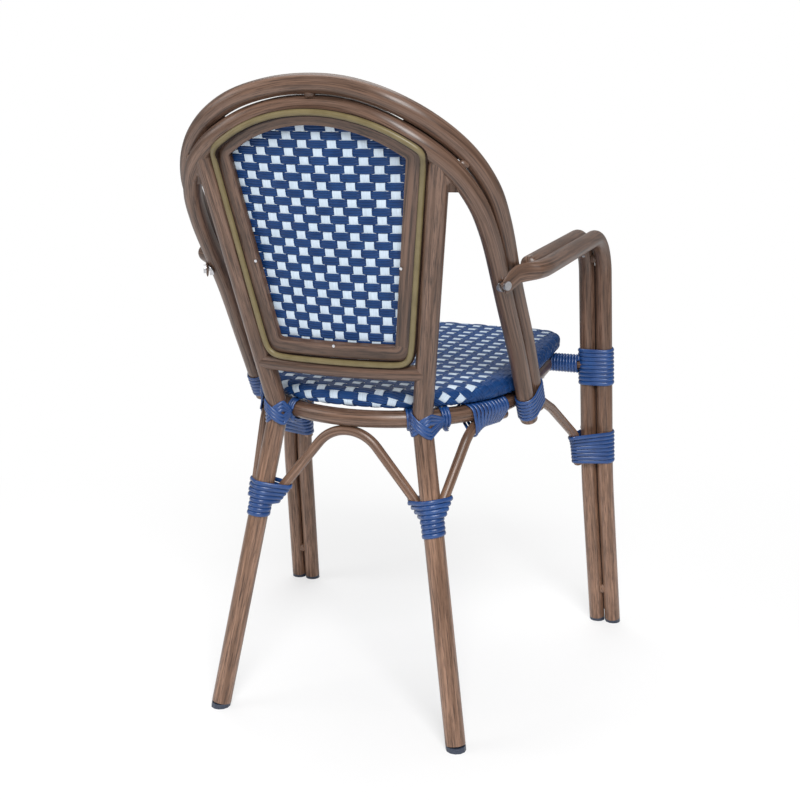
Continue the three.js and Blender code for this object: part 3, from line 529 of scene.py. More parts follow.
BACK_LENGTH = math.hypot(POST_TOP[1] - POST_KNEE[1], POST_TOP[2] - POST_KNEE[2])
POST_SLOPE = (POST_TOP[0] - POST_KNEE[0]) / BACK_LENGTH


def post_u(v):
    """How far out the post's middle line is at a place up the slope."""
    return POST_KNEE[0] + POST_SLOPE * v


def bowed(middle, u):
    """How far back the bowed surface lies at a width."""
    return middle - BOW_DEPTH * (u / BOW_HALF) ** 2


def arch_loop(bottom_half, bottom, top_half, top, apex, low_bend, high_bend):
    """A straight bottom and sides under an arch, as (across, up) pairs."""
    corner = top + (apex - top) * ARCH_SHARE
    lean = math.atan2(corner - top, top_half)
    radius = (corner - apex) / (1 / math.cos(lean) - 1)
    corners = [
        Vector((u, v, 0)) * MM
        for u, v in ((-bottom_half, bottom), (bottom_half, bottom), (top_half, top),
                     (0, corner), (-top_half, top))
    ]
    bends = (low_bend, low_bend, high_bend, radius, high_bend)
    loop = bent_loop(corners, bends, ARCH_PARTS)
    loop = [(p.x / MM, p.y / MM) for p in loop]
    return finer_loop(loop)


def finer_loop(loop):
    """Splits the long straight runs of a loop of pairs into the same steps each time."""
    result = []
    for i, (a, b) in enumerate(zip(loop, loop[1:] + [loop[0]])):
        steps = LOOP_RUNS.get(i, 1)
        result += [
            (a[0] + (b[0] - a[0]) * k / steps, a[1] + (b[1] - a[1]) * k / steps)
            for k in range(steps)
        ]
    return result




def panel_outline(out=0, low=0):
    """The line of the bead, or the panel's edge that lies outside it."""
    return arch_loop(
        post_u(BEAD_BOTTOM) - BEAD_INSET + out, BEAD_BOTTOM + low,
        post_u(BEAD_TOP) - BEAD_INSET + out, BEAD_TOP + out,
        BEAD_ARCH + out, BEAD_BOTTOM_BEND, BEAD_TOP_BEND,
    )


def window_outline(grow=0):
    return arch_loop(
        WINDOW_BOTTOM_HALF + grow, WINDOW_BOTTOM - grow, WINDOW_TOP_HALF + grow, WINDOW_TOP,
        WINDOW_ARCH + grow, WINDOW_BEND + grow, WINDOW_BEND + grow,
    )


def hoop_lines():
    """The middle lines of both hoops, from the left foot over the top to the right one."""
    outer = smooth_line([at(*p) for p in OUTER_HOOP], HOOP_STATIONS)
    ways = smooth_line([Vector(p) for p in HOOP_PAIR], HOOP_STATIONS)
    inner = []
    for i, point in enumerate(outer):
        before = outer[max(i - 1, 0)]
        after = outer[min(i + 1, HOOP_STATIONS)]
        tangent = (after - before).normalized()
        way = ways[i] - tangent * ways[i].dot(tangent)
        inner.append(point + way.normalized() * HOOP_SPACING * MM)
    return outer, inner


outer_hoop, inner_hoop = hoop_lines()


def post_line(side):
    foot, knee, top = (at(*p, side) for p in (POST_FOOT, POST_KNEE, POST_TOP))
    foot = foot.lerp(knee, FOOT_CAP / POST_KNEE[2])
    return divided(bent_line([foot, knee, top], [KNEE_BEND], POST_PARTS), POST_STEP)


def pair_x(z, offset):
    return PAIR_MIDDLE - PAIR_LEAN * z + offset


def leg_corners(offset, side):
    foot_y = FRONT_FOOT_Y + (FRONT_KNEE_Y - FRONT_FOOT_Y) * FOOT_CAP / FRONT_KNEE_Z
    return [
        at(pair_x(FOOT_CAP, offset), foot_y, FOOT_CAP, side),
        at(pair_x(FRONT_KNEE_Z, offset), FRONT_KNEE_Y, FRONT_KNEE_Z, side),
        at(pair_x(ARM_HEIGHT, offset), FRONT_KNEE_Y, ARM_HEIGHT, side),
    ]


def tab_place(side):
    """The tab's own directions, the bolt's place on the hoop, and where the tab starts."""
    forth = Vector((-math.sin(TAB_YAW) * side, math.cos(TAB_YAW), 0))
    outward = Vector((math.cos(TAB_YAW) * side, math.sin(TAB_YAW), 0))
    hoop = at_height(inner_hoop, BOLT_HEIGHT, side)
    lift = HOOP_RADIUS + WASHER_THICKNESS + TAB_THICKNESS / 2 + 2 * FIT
    bolt = hoop + outward * lift * MM
    return forth, outward, bolt, bolt - forth * TAB_LEAD * MM


def outer_leg_line(side):
    forth, _, bolt, start = tab_place(side)
    high = start.copy()
    high.z = bolt.z + TAB_RISE * MM
    back = (ARM_REAR_X * MM - start.x * side) / math.sin(TAB_YAW)
    corner = start - forth * back
    corner.z = ARM_REAR_HEIGHT * MM
    end = bolt + forth * TAB_TAIL * MM
    end.z = bolt.z - TAB_SINK * MM
    return bent_line(
        leg_corners(PAIR_SPACING / 2, side) + [corner, high, end],
        [FRONT_KNEE_BEND, ARM_BEND, ARM_REAR_BEND, TAB_BEND], LEG_PARTS,
    )


def inner_leg_line(side):
    high = leg_corners(PAIR_SPACING / 2, side)[2]
    outer = outer_leg_line(side)
    rear = next(p for p in outer if p.y > at(0, ARM_BEND_Y, 0).y)
    share = (at(0, INNER_ARM_END, 0).y - high.y) / (rear.y - high.y)
    corners = leg_corners(-PAIR_SPACING / 2, side)
    end = corners[2] + (rear - high) * share
    end.y = at(0, INNER_ARM_END, 0).y
    return bent_line(corners + [end], [FRONT_KNEE_BEND, ARM_BEND], LEG_PARTS)


def ring_line():
    corners = [
        Vector((x, y, 0)) * MM
        for x, y in ((RING_REAR_HALF, RING_REAR), (-RING_REAR_HALF, RING_REAR),
                     (-RING_FRONT_HALF, RING_FRONT), (RING_FRONT_HALF, RING_FRONT))
    ]
    bends = (RING_REAR_BEND, RING_REAR_BEND, RING_FRONT_BEND, RING_FRONT_BEND)
    loop = bent_loop(corners, bends, RING_PARTS)
    return divided([seat_spot(p.x / MM, p.y / MM, 0) for p in loop], RING_STEP, True)


def bar_line():
    half = post_u(BAR_V)
    return [
        back_spot(u, BAR_V, bowed(BAR_BACK, u))
        for u in (half * (2 * k / BAR_STEPS - 1) for k in range(BAR_STEPS + 1))
    ]


def rear_brace_line():
    end_x, end_z = REAR_BRACE_END
    corners = [
        at(end_x, REAR_BRACE_Y, end_z), at(0, REAR_BRACE_Y, REAR_BRACE_APEX),
        at(-end_x, REAR_BRACE_Y, end_z),
    ]
    return bent_line(corners, [REAR_BRACE_BEND], REAR_BRACE_PARTS)


def side_brace_line(side):
    places = [at(*p, side) for p in SIDE_BRACE]
    return bent_line(places, [SIDE_BRACE_BEND], SIDE_BRACE_PARTS)


def front_brace_line(side):
    bends = [FRONT_BRACE_BEND, FRONT_BRACE_BEND]
    return bent_line([at(*p, side) for p in FRONT_BRACE], bends, FRONT_BRACE_PARTS)


def rail_line(side):
    start = seat_spot(RAIL_START * side, RAIL_Y, 0)
    end = at_height(inner_leg_line(side), start.z / MM, side)
    end.y = start.y
    return [start.lerp(end, k / RAIL_STEPS) for k in range(RAIL_STEPS + 1)]


# Tubes


def tube(name, rings, closed=False, look=None):
    """A tube of rings that takes the place of the frame's node of that name."""
    swept(f"{name}_tube", rings, look or grain, "grained_tube", (name,), closed)


def plain_tube(name, line, radius, closed=False, look=None):
    tube(name, tube_rings(line, radius, closed=closed), closed, look)


def hoops():
    for name, line in (("outer_hoop", outer_hoop), ("inner_hoop", inner_hoop)):
        skin = Skin()
        skin.add(tube_rings(line, HOOP_RADIUS), caps=False)
        for points in (line, line[::-1]):
            skin.add(mouth(points, HOOP_RADIUS))
        skin.piece(f"{name}_tube", grain, "grained_tube", (name,))


def posts():
    for name, side in SIDES:
        plain_tube(f"rear_leg_{name}", post_line(side), POST_RADIUS)


def flattened(rings, side):
    """Squeezes the end of the outer leg flat for its bolt, and rounds its tip."""
    forth, outward, bolt, start = tab_place(side)
    for ring in rings:
        for i, p in enumerate(ring):
            reach = (p - start).dot(forth) / MM + FLAT_START
            if reach <= 0 or (p - start).length > TAB_REACH * MM:
                continue
            x = min(reach / FLAT_RUN, 1)
            done = x * x * (3 - 2 * x)
            thin = 1 + (TAB_THICKNESS / (2 * LEG_RADIUS) - 1) * done
            off = (p - start).dot(outward)
            moved = p + outward * off * (thin - 1)
            tip = min(max((moved - bolt).dot(forth) / MM / TAB_TAIL, 0), 1)
            moved.z += (bolt.z - TAB_SINK * MM - moved.z) * tip * tip * TAB_NARROW
            ring[i] = moved
    return rings


def domed(line, radius):
    """Tube rings whose last end is a low dome."""
    rings = tube_rings(line, radius)
    normal, side = frames(line)[-1]
    forth = (line[-1] - line[-2]).normalized()
    for step in DOME_STEPS:
        share = math.sqrt(1 - step * step)
        centre = line[-1] + forth * DOME_HEIGHT * step * MM
        rings.append(ring_at(centre, normal, side, radius * share, TUBE_SIDES))
    return rings


def front_legs():
    for name, side in SIDES:
        outer = divided(outer_leg_line(side), OUTER_LEG_STEP)
        inner = inner_leg_line(side)
        tube(f"front_leg_outer_{name}", flattened(tube_rings(outer, LEG_RADIUS), side))
        stepped = divided(inner, INNER_LEG_STEP)
        tube(f"front_leg_inner_{name}", domed(stepped, LEG_RADIUS))
        lift = Vector((0, LEG_WELD_LIFT * MM, 0))
        for height in LEG_WELD_HEIGHTS:
            a = at_height(outer, height, side) + lift
            b = at_height(inner, height, side) + lift
            weld(f"leg_weld_{name}_{height}", a, b, Vector((0, 0, 1)))


def weld(name, a, b, forth, size=WELD_SIZE):
    """A small lump of weld between two tubes."""
    across = (b - a).normalized()
    out = across.cross(forth).normalized()
    rings = []
    for k in range(WELD_STEPS + 1):
        x = 2 * k / WELD_STEPS - 1
        radius = math.sqrt(max(1 - x * x, WELD_LEAST))
        centre = (a + b) / 2 + forth.normalized() * x * size * WELD_LENGTH * MM
        ring = []
        for j in range(WELD_SIDES):
            angle = 2 * math.pi * j / WELD_SIDES
            ripple = 1 + WELD_RIPPLE * math.sin(5 * k + 3 * angle)
            way = across * math.cos(angle) * WELD_SWELL + out * math.sin(angle)
            ring.append(centre + way * radius * size * ripple * MM)
        rings.append(ring)
    swept(name, rings, grain, "grained_tube")


def crease_shade(name, first, second, low, high, side):
    """A dark tube of painted shade in the crease between two touching tubes, where shade falls.
    """
    run = []
    for k in range(CREASE_SHADE_STEPS + 1):
        z = low + (high - low) * k / CREASE_SHADE_STEPS
        run.append(at_height(first, z, side).lerp(at_height(second, z, side), 0.5))
    swept(name, tube_rings(run, CREASE_SHADE_RADIUS, CREASE_SHADE_SIDES), painted_shade_grain, "grained_tube")


def post_web(name, side):
    """The smooth weld that fills the narrow corner between a post and the inner hoop."""
    post = post_line(side)
    rings = []
    for k in range(WEB_STEPS + 1):
        share = k / WEB_STEPS
        height = WEB_LOW + (WEB_HIGH - WEB_LOW) * share
        a, b = at_height(post, height, side), at_height(inner_hoop, height, side)
        out = (b - a).cross(Vector((0, 0, 1))).normalized()
        fullness = WEB_THIN + (1 - WEB_THIN) * min(share * WEB_FLARE, 1) ** 0.5
        hang = WEB_SAG * max(1 - share * 2, 0)
        ring = []
        for j in range(WEB_SIDES):
            angle = 2 * math.pi * j / WEB_SIDES
            sag = hang * min(math.cos(angle) ** 2 * WEB_NOTCH, WEB_NOTCH_MOST)
            ring.append(a.lerp(b, 0.5 + 0.5 * math.cos(angle))
                        + out * math.sin(angle) * (WEB_THICKNESS * fullness) * MM
                        - Vector((0, 0, sag * MM)))
        rings.append(ring)
    swept(f"post_web_{name}", rings, grain, "grained_tube")


def hoop_welds():
    middle = HOOP_STATIONS // 2
    back = Vector((0, TOP_WELD_LIFT * MM, 0))
    weld("hoop_weld_top", outer_hoop[middle] + back, inner_hoop[middle] + back,
         Vector((1, 0, 0)))
    height = SIDE_WELD_HEIGHT
    for name, side in SIDES:
        a = at_height(outer_hoop, height, side)
        b = at_height(inner_hoop, height - HOOP_RADIUS, side)
        rise = at_height(inner_hoop, height, side) - b
        out = (b - a).cross(rise).normalized() * WELD_SIZE * MM
        if out.y < 0:
            out = -out
        weld(f"hoop_weld_{name}", a + out, b + out, rise, SIDE_WELD_SIZE)
        post_web(name, side)


# painted shade: dark strips in the creases between the two hoops and between the two front legs
def crease_shades():
    high_shade = (SIDE_WELD_HEIGHT, SIDE_WELD_HEIGHT + HIGH_SHADE_LENGTH)
    for name, side in SIDES:
        crease_shade(f"hoop_shade_high_{name}", outer_hoop, inner_hoop, *high_shade, side)
        crease_shade(f"hoop_shade_low_{name}", outer_hoop, inner_hoop, *LOW_SHADE, side)
        outer, inner = outer_leg_line(side), inner_leg_line(side)
        crease_shade(f"leg_shade_{name}", outer, inner, *LEG_SHADE, side)


def seat_frame_tubes():
    plain_tube("seat_ring", ring_line(), RING_RADIUS, closed=True)
    plain_tube("back_crossbar", bar_line(), BAR_RADIUS, look=frame_grain)
    plain_tube("rear_brace", rear_brace_line(), BRACE_RADIUS)
    for name, side in SIDES:
        plain_tube(f"side_brace_rear_{name}", side_brace_line(side), BRACE_RADIUS)
        plain_tube(f"side_brace_front_{name}", front_brace_line(side), BRACE_RADIUS)
        plain_tube(f"rail_end_{name}", rail_line(side), RAIL_RADIUS)


# Back panel


def panel_section(width):
    """The frame's section as (in from the outer edge, forward from the back face)."""
    e = FRAME_EDGE
    s = e * (1 - math.sqrt(0.5))
    depth = FRAME_DEPTH
    step = width - REBATE
    return (
        (e, 0), (width / 2, -FRAME_CROWN), (width - e, 0), (width - s, s), (width, e),
        (width, WINDOW_DEPTH), (step, WINDOW_DEPTH), (step, depth - e), (step - s, depth - s),
        (step - e, depth), (step / 2, depth + FRAME_CROWN), (e, depth), (s, depth - s),
        (0, depth - e), (0, e), (s, s),
    )


def panel_frame():
    rings = []
    edge = panel_outline(FRAME_OUT, FRAME_LOW)
    for (u, v), (window_u, window_v) in zip(edge, window_outline()):
        width = math.hypot(window_u - u, window_v - v)
        ring = []
        for inward, forward in panel_section(width):
            share = inward / width
            x = u + (window_u - u) * share
            y = v + (window_v - v) * share
            ring.append(back_spot(x, y, bowed(FRAME_BACK, x) - forward))
        rings.append(ring)
    swept("panel_frame_bow", rings, frame_grain, "grained_tube", ("panel_frame",), True)


def lifted(point, line, gap):
    """Moves a point rearward until it clears a tube's middle line."""
    rearward = (at(*CAMERA_PLACE) - point).normalized()
    steps = 0
    while nearest_gap(point, line) < gap * MM and steps < LIFT_STEPS:
        point = point + rearward * MM
        steps += 1
    return point


def nearest_gap(point, line):
    best = 1.0
    for a, b in zip(line, line[1:]):
        run = b - a
        share = min(max((point - a).dot(run) / run.length_squared, 0), 1)
        best = min(best, (point - a - run * share).length)
    return best


def gold_bead():
    line = []
    for u, v in panel_outline():
        point = back_spot(u, v, bowed(BEAD_BACK, u))
        line.append(lifted(point, inner_hoop, BEAD_CLEAR))
    for _ in range(BEAD_SMOOTHING):
        ends = line[-1:] + line + line[:1]
        line = [(a + b * 2 + c) / 4 for a, b, c in zip(ends, ends[1:], ends[2:])]
    rings = tube_rings(line, BEAD_RADIUS, BEAD_SIDES, closed=True)
    swept("gold_bead_cord", rings, gold, "gold_bead", ("gold_bead",), True)
    # painted shade: a dark tube a little wider than the bead, set behind it, shows as dark lines
    # at both its sides
    behind = Vector((0, -BEAD_SHADE_DEPTH * MM, 0))
    rings = tube_rings([p + behind for p in line], BEAD_RADIUS + BEAD_SHADE_EDGE, BEAD_SIDES,
                       closed=True)
    swept("bead_shade", rings, painted_shade_grain, "grained_tube", closed=True)


# Woven strips

COLUMN_WIDTH = 12.2
COLUMN_FLARE = 3.4
ROW_WIDTH = 0.985
WEAVE_LIFT = 0.9
WEAVE_SHARPNESS = 0.6
STRIP_THICKNESS = 1.1
# the share of a cell over which a strip's own direction across is measured
BESIDE = 0.5
# where along a cell its rings stand, and how much a column flares there
CELL_RINGS = (-0.5, -0.45, -0.39, -0.3, -0.15, 0.0, 0.15, 0.3, 0.42)
CELL_FLARE = (1.0, 0.85, 0.0, 0.0, 0.0, 0.0, 0.0, 0.0, 0.0)


def both_faces(upper):
    """A strip's section from its upper line, which is turned over for the lower one."""
    return upper + tuple((-x, -h) for x, h in upper)


# one flat strip with soft edges, and one pressed into three ribs: shares of width and height
FLAT_SECTION = both_faces(((-0.5, 0), (-0.47, 0.4), (-0.2, 0.5), (0.2, 0.5), (0.47, 0.4)))
RIBBED_SECTION = both_faces((
    (-0.5, 0), (-0.44, 0.55), (-0.33, 0.8), (-0.22, 0.55), (-0.165, 0.1), (-0.11, 0.55),
    (0, 0.8), (0.11, 0.55), (0.165, 0.1), (0.22, 0.55), (0.33, 0.8), (0.44, 0.55),
))


def strip(place, inside, surface, number, cells, is_column, is_white):
    """The rings of one strip over and under the strips it crosses, if it is long enough."""
    t = (cells[:, None] + np.array(CELL_RINGS)).ravel()
    own = np.full_like(t, number)
    if is_column:
        centre, beside = place(own, t), place(own + BESIDE, t)
    else:
        centre, beside = place(t, own), place(t, own + BESIDE)
    kept = np.flatnonzero(inside(centre))
    if len(kept) < 2 * len(CELL_RINGS):
        return []
    run = slice(kept[0], kept[-1] + 1)
    gap = (beside[run] - centre[run]) / BESIDE
    pitch = np.sqrt((gap ** 2).sum(axis=1))
    across = gap / pitch[:, None]
    wave = np.cos(math.pi * (t[run] + number))
    lift = WEAVE_LIFT * np.sign(wave) * np.abs(wave) ** WEAVE_SHARPNESS
    if not is_column:
        lift = -lift
    section, width = RIBBED_SECTION, pitch * ROW_WIDTH
    if is_white:
        on_top = 1 - np.repeat((cells + number) % 2, len(CELL_RINGS))
        flare = (np.tile(CELL_FLARE, len(cells)) * on_top)[run]
        section, width = FLAT_SECTION, COLUMN_WIDTH + COLUMN_FLARE * flare
    parts = []
    for x, h in section:
        spot = centre[run] + across * (x * width)[:, None]
        parts.append(np.column_stack([spot, lift + h * STRIP_THICKNESS]))
    points = surface(np.stack(parts, axis=1).reshape(-1, 3))
    size = len(section)
    return [points[k:k + size] for k in range(0, len(points), size)]


def weave(place, inside, surface, reach, white_columns, skins):
    """Lays columns and ribbed rows over and under each other on a lattice of cells."""
    white_skin, row_skin, side_skin = skins
    for is_column in (True, False):
        own, other = reach if is_column else reach[::-1]
        cells = np.arange(other[0], other[1] + 1)
        for number in range(own[0], own[1] + 1):
            is_white = is_column and white_columns[0] <= number <= white_columns[1]
            rings = strip(place, inside, surface, number, cells, is_column, is_white)
            if rings:
                skin = white_skin if is_white else side_skin if is_column else row_skin
                skin.add(rings)


def within(outline):
    """A test for which plan points lie inside a closed outline."""
    a = np.array(outline)
    b = np.roll(a, -1, axis=0)
    rise = np.where(b[:, 1] == a[:, 1], 1, b[:, 1] - a[:, 1])

    def test(points):
        x, y = points[:, 0:1], points[:, 1:2]
        spans = (a[:, 1] > y) != (b[:, 1] > y)
        crossing = (b[:, 0] - a[:, 0]) * (y - a[:, 1]) / rise + a[:, 0]
        return (spans & (x < crossing)).sum(axis=1) % 2 == 1

    return test


# The back's columns fan out toward the top and its rows get closer
BACK_PITCH = 17.1
BACK_FAN = 0.0116
BACK_SHIFT = -3.2
BACK_FIRST_ROW = 123.75
BACK_ROW_PITCH = 11.9
BACK_ROW_CLOSER = 0.029
BACK_FAN_START = 130
BACK_COLUMNS = (-9, 9)
BACK_ROWS = (-3, 30)
# how far the strips reach into the frame past the window's edge
TUCK = 4


def back_place(i, j):
    v = BACK_FIRST_ROW + j * BACK_ROW_PITCH - j * np.abs(j) * BACK_ROW_CLOSER
    u = BACK_SHIFT + i * (BACK_PITCH + (v - BACK_FAN_START) * BACK_FAN)
    return np.column_stack([u, v])


def back_surface(flat):
    middle = FRAME_BACK - WINDOW_DEPTH - STRIP_THICKNESS * 2
    return [back_spot(u, v, bowed(middle, u) + w) for u, v, w in flat]


def back_weave():
    columns, rows = Skin(), Skin()
    weave(back_place, within(window_outline(TUCK)), back_surface, (BACK_COLUMNS, BACK_ROWS),
          BACK_COLUMNS, (columns, rows, rows))
    rows.piece("back_weave_rows", navy_weave, "back_weave", ("back_weave",))
    columns.piece("back_weave_columns", white, "back_weave", ("back_weave",))


# The seat's cells widen toward the front; its edge rolls over, softer at the rear
SEAT_PITCH = 22.5
SEAT_FAN = -0.006
SEAT_SHIFT = -3
SEAT_ROW_PITCH = 12.3
SEAT_ROW_START = -83.3
ROLL_FULLNESS = 0.55
WEAVE_DEPTH = 0.9
SEAT_ROLL_REAR = 42
SEAT_ROLL_SIDE = 20
SEAT_RIM = 11
SEAT_RIM_OUT = 11
SEAT_UNDER = 16
# the fan of the columns ends at these places front and rear
SEAT_FAN_ENDS = (-260, 200)
SEAT_COLUMNS = (-13, 13)
SEAT_ROWS = (-24, 34)
WHITE_SEAT_COLUMNS = (-7, 7)
SEAT_PARTS = (30, 30, 10, 10, 10)
LEAST_BEND = 0.5
ROLL_STEPS = 24
RIM_STEPS = 12


def seat_place(i, j):
    y = SEAT_ROW_START + j * SEAT_ROW_PITCH
    x = SEAT_SHIFT + i * (SEAT_PITCH + np.clip(y, *SEAT_FAN_ENDS) * SEAT_FAN)
    return np.column_stack([x, y])


def seat_outline(inset):
    """The seat's plan, drawn in by an inset, as an array of points."""
    rear = SEAT_REAR_BEND - inset
    front = max(SEAT_FRONT_BEND - inset, LEAST_BEND)
    corners = [
        Vector((x, y, 0)) * MM
        for x, y in (
            (SEAT_REAR_HALF - inset, SEAT_REAR - inset),
            (-SEAT_REAR_HALF + inset, SEAT_REAR - inset),
            (-SEAT_FRONT_HALF + inset, SEAT_FRONT + inset),
            (0, SEAT_FRONT_MIDDLE + inset),
            (SEAT_FRONT_HALF - inset, SEAT_FRONT + inset),
        )
    ]
    loop = bent_loop(corners, (rear, rear, front, SEAT_BOW, front), SEAT_PARTS)
    return np.array([(p.x / MM, p.y / MM) for p in loop])


def edge_profile(reach):
    """The rolled edge as rows of (length along it, out, up, way out, way up)."""
    rows = []
    top = SEAT_THICKNESS - SEAT_RIM
    for k in range(ROLL_STEPS + 1):
        angle = math.pi / 2 * k / ROLL_STEPS
        s, c = math.sin(angle), abs(math.cos(angle))
        rows.append((reach * s ** ROLL_FULLNESS, SEAT_RIM + top * c ** ROLL_FULLNESS,
                     top * s ** (2 - ROLL_FULLNESS), reach * c ** (2 - ROLL_FULLNESS)))
    for k in range(1, RIM_STEPS + 1):
        angle = math.pi / 2 * (1 + k / RIM_STEPS)
        rows.append((reach - SEAT_RIM_OUT * (1 - math.sin(angle)),
                     SEAT_RIM * (1 + math.cos(angle)), math.sin(angle), math.cos(angle)))
    rows.append((reach - SEAT_RIM_OUT - 3 * SEAT_UNDER, 0, 0, -1))
    table = np.array(rows)
    size = np.sqrt((table[:, 2:] ** 2).sum(axis=1))
    table[:, 2:] /= size[:, None]
    steps = np.sqrt((np.diff(table[:, :2], axis=0) ** 2).sum(axis=1))
    return np.column_stack([np.concatenate([[0], np.cumsum(steps)]), table])


def nearest_on(loop, plan):
    """For each plan point, the nearest point of a closed loop and the gap to it."""
    edges = np.roll(loop, -1, axis=0) - loop
    lengths = np.maximum((edges ** 2).sum(axis=1), 1e-9)
    rel = plan[:, None, :] - loop[None]
    share = np.clip((rel * edges[None]).sum(axis=2) / lengths, 0, 1)
    near = loop[None] + share[..., None] * edges[None]
    gap = np.sqrt(((plan[:, None] - near) ** 2).sum(axis=2))
    pick = gap.argmin(axis=1)
    lines = np.arange(len(plan))
    return near[lines, pick], gap[lines, pick]


def seat_surface(flat):
    """Wraps a flat weave over the seat: its top, its rolled edge and the rim below."""
    core = seat_outline(SEAT_ROLL_REAR)
    plan = flat[:, :2]
    base, distance = nearest_on(core, plan)
    inner = within(core)(plan) | (distance < 1e-6)
    way = (plan - base) / np.maximum(distance, 1e-6)[:, None]
    level = RING_RADIUS + SEAT_RISE
    side, rear = edge_profile(SEAT_ROLL_SIDE), edge_profile(SEAT_ROLL_REAR)
    points = []
    for (x, y, w), b, d, n, is_inner in zip(flat, base, distance, way, inner):
        lift = w - WEAVE_DEPTH
        # the roll starts farther in at the rear than at the sides
        softness = max(n[1], 0) ** 2
        start = (SEAT_ROLL_REAR - SEAT_ROLL_SIDE) * (1 - softness)
        if is_inner or d <= start:
            points.append(seat_spot(x, y, level + SEAT_THICKNESS + lift))
            continue
        table = side * (1 - softness) + rear * softness
        out, up, far, high = (
            np.interp(d - start, table[:, 0], table[:, k]) for k in range(1, 5)
        )
        out += start + far * lift
        points.append(seat_spot(b[0] + n[0] * out, b[1] + n[1] * out, level + up + high * lift))
    return points


def seat_weave():
    core = seat_outline(SEAT_ROLL_REAR)
    tangent = np.roll(core, -1, axis=0) - np.roll(core, 1, axis=0)
    normal = np.stack([tangent[:, 1], -tangent[:, 0]], axis=1)
    normal /= np.sqrt((normal ** 2).sum(axis=1))[:, None]
    length = edge_profile(SEAT_ROLL_REAR)[-2, 0] + SEAT_UNDER
    columns, rows, sides = Skin(), Skin(), Skin()
    weave(seat_place, within(core + normal * length), seat_surface, (SEAT_COLUMNS, SEAT_ROWS),
          WHITE_SEAT_COLUMNS, (columns, rows, sides))
    rows.piece("seat_weave_rows", navy_seat, "seat_weave", ("seat_weave",))
    sides.piece("seat_weave_sides", navy_seat, "seat_weave", ("seat_weave",))
    columns.piece("seat_weave_columns", white, "seat_weave", ("seat_weave",))


# Lashings

# directions in which a turn is laid, and in which the outermost tube is looked for
FAN = 16
SCAN = 72
SECTION_REACH = 80
LEAST_PART = 0.3
LEAST_SLANT = 0.15
STRAND_SECTION = (
    (-0.5, -0.25), (-0.47, 0.05), (-0.33, 0.42), (-0.17, 0.62), (0, 0.7), (0.17, 0.62),
    (0.33, 0.42), (0.47, 0.05), (0.5, -0.25), (0.4, -0.5), (-0.4, -0.5),
)


def section_of(line, radius, origin, axis):
    """Where a tube passes through a plane near its origin: centre, heading and radius."""
    best = None
    for a, b in zip(line, line[1:]):
        da, db = (a - origin).dot(axis), (b - origin).dot(axis)
        if da * db > 0 or da == db:
            continue
        centre = a.lerp(b, da / (da - db))
        away = (centre - origin).length
        if best is None or away < best[0]:
            best = (away, centre, (b - a).normalized(), radius)
    return best[1:] if best and best[0] < SECTION_REACH * MM else None


def reach_of(section, origin, way, axis):
    """How far a tube's section reaches from the origin in a direction."""
    centre, heading, radius = section
    lean = heading - axis * heading.dot(axis)
    stretch = max(1 - lean.length_squared, LEAST_SLANT)
    return (centre - origin).dot(way) + radius * MM * math.sqrt(1 + lean.dot(way) ** 2 / stretch)


def winding(tubes, start, axis, turns, pitch=STRAND_PITCH, slack=LASH_SLACK):
    """The points of a strand round its tubes, and the way out of them at each."""
    axis = axis.normalized()
    e1 = Vector((1, 0, 0)) - axis * axis.x
    if e1.length < LEAST_PART:
        e1 = Vector((0, 1, 0)) - axis * axis.y
    e1.normalize()
    e2 = axis.cross(e1)

    def way_of(angle):
        return e1 * math.cos(angle) + e2 * math.sin(angle)

    def sections(height):
        origin = start + axis * height * MM
        found = [section_of(line, radius, origin, axis) for line, radius in tubes]
        return origin, [s for s in found if s]

    def widest(place, way):
        origin, found = place
        reaches = [reach_of(s, origin, way, axis) for s in found]
        best = max(reaches)
        return best, reaches.index(best)

    flats = []
    for turn in range(turns):
        here = sections((turn + 0.5) * pitch)
        angles = []
        for k in range(SCAN):
            a, b = 2 * math.pi * k / SCAN, 2 * math.pi * (k + 1) / SCAN
            if widest(here, way_of(a))[1] != widest(here, way_of(b))[1]:
                angles.append((a + b) / 2)
        for k in range(FAN):
            a = 2 * math.pi * k / FAN
            if all(abs(a - b) > math.pi / FAN / 2 for b in angles):
                angles.append(a)
        for a in sorted(angles):
            height = (turn + a / (2 * math.pi)) * pitch
            heights = [height + d * STRAND_WIDTH / 2 for d in (-1, 0, 1)]
            reach = max(widest(sections(h), way_of(a))[0] for h in heights)
            flats.append((a + turn * 2 * math.pi, height,
                          reach + (slack + STRAND_THICKNESS / 2) * MM))
    result = []
    for (a, low, p), (b, high, q) in zip(flats, flats[1:]):
        turn = b - a
        side = (q - p * math.cos(turn)) / math.sin(turn)
        centre = start + axis * (low + high) / 2 * MM
        point = centre + way_of(a) * p + way_of(a + math.pi / 2) * side
        result.append((point, way_of((a + b) / 2)))
    return result


def strand(skin, turns, width):
    """Sweeps the flat strand along its points with its face turned outward."""
    rings = []
    for i, (point, outward) in enumerate(turns):
        before = turns[max(i - 1, 0)][0]
        after = turns[min(i + 1, len(turns) - 1)][0]
        tangent = (after - before).normalized()
        normal = (outward - tangent * outward.dot(tangent)).normalized()
        across = tangent.cross(normal)
        rings.append([
            point + across * x * width * MM + normal * h * STRAND_THICKNESS * MM
            for x, h in STRAND_SECTION
        ])
    skin.add(rings)


def lashing(name, node, windings, widths=(STRAND_WIDTH,)):
    """One lashing of one or more windings that takes the place of the frame's node."""
    skin = Skin()
    for turns, width in zip(windings, widths):
        strand(skin, turns, width)
    skin.piece(name, lash_strand, "lashing", (node,))


def between_heights(line, heights, side):
    """The point of a line at the first height, and its direction toward the second."""
    start, end = (at_height(line, height, side) for height in heights)
    return start, (end - start).normalized()


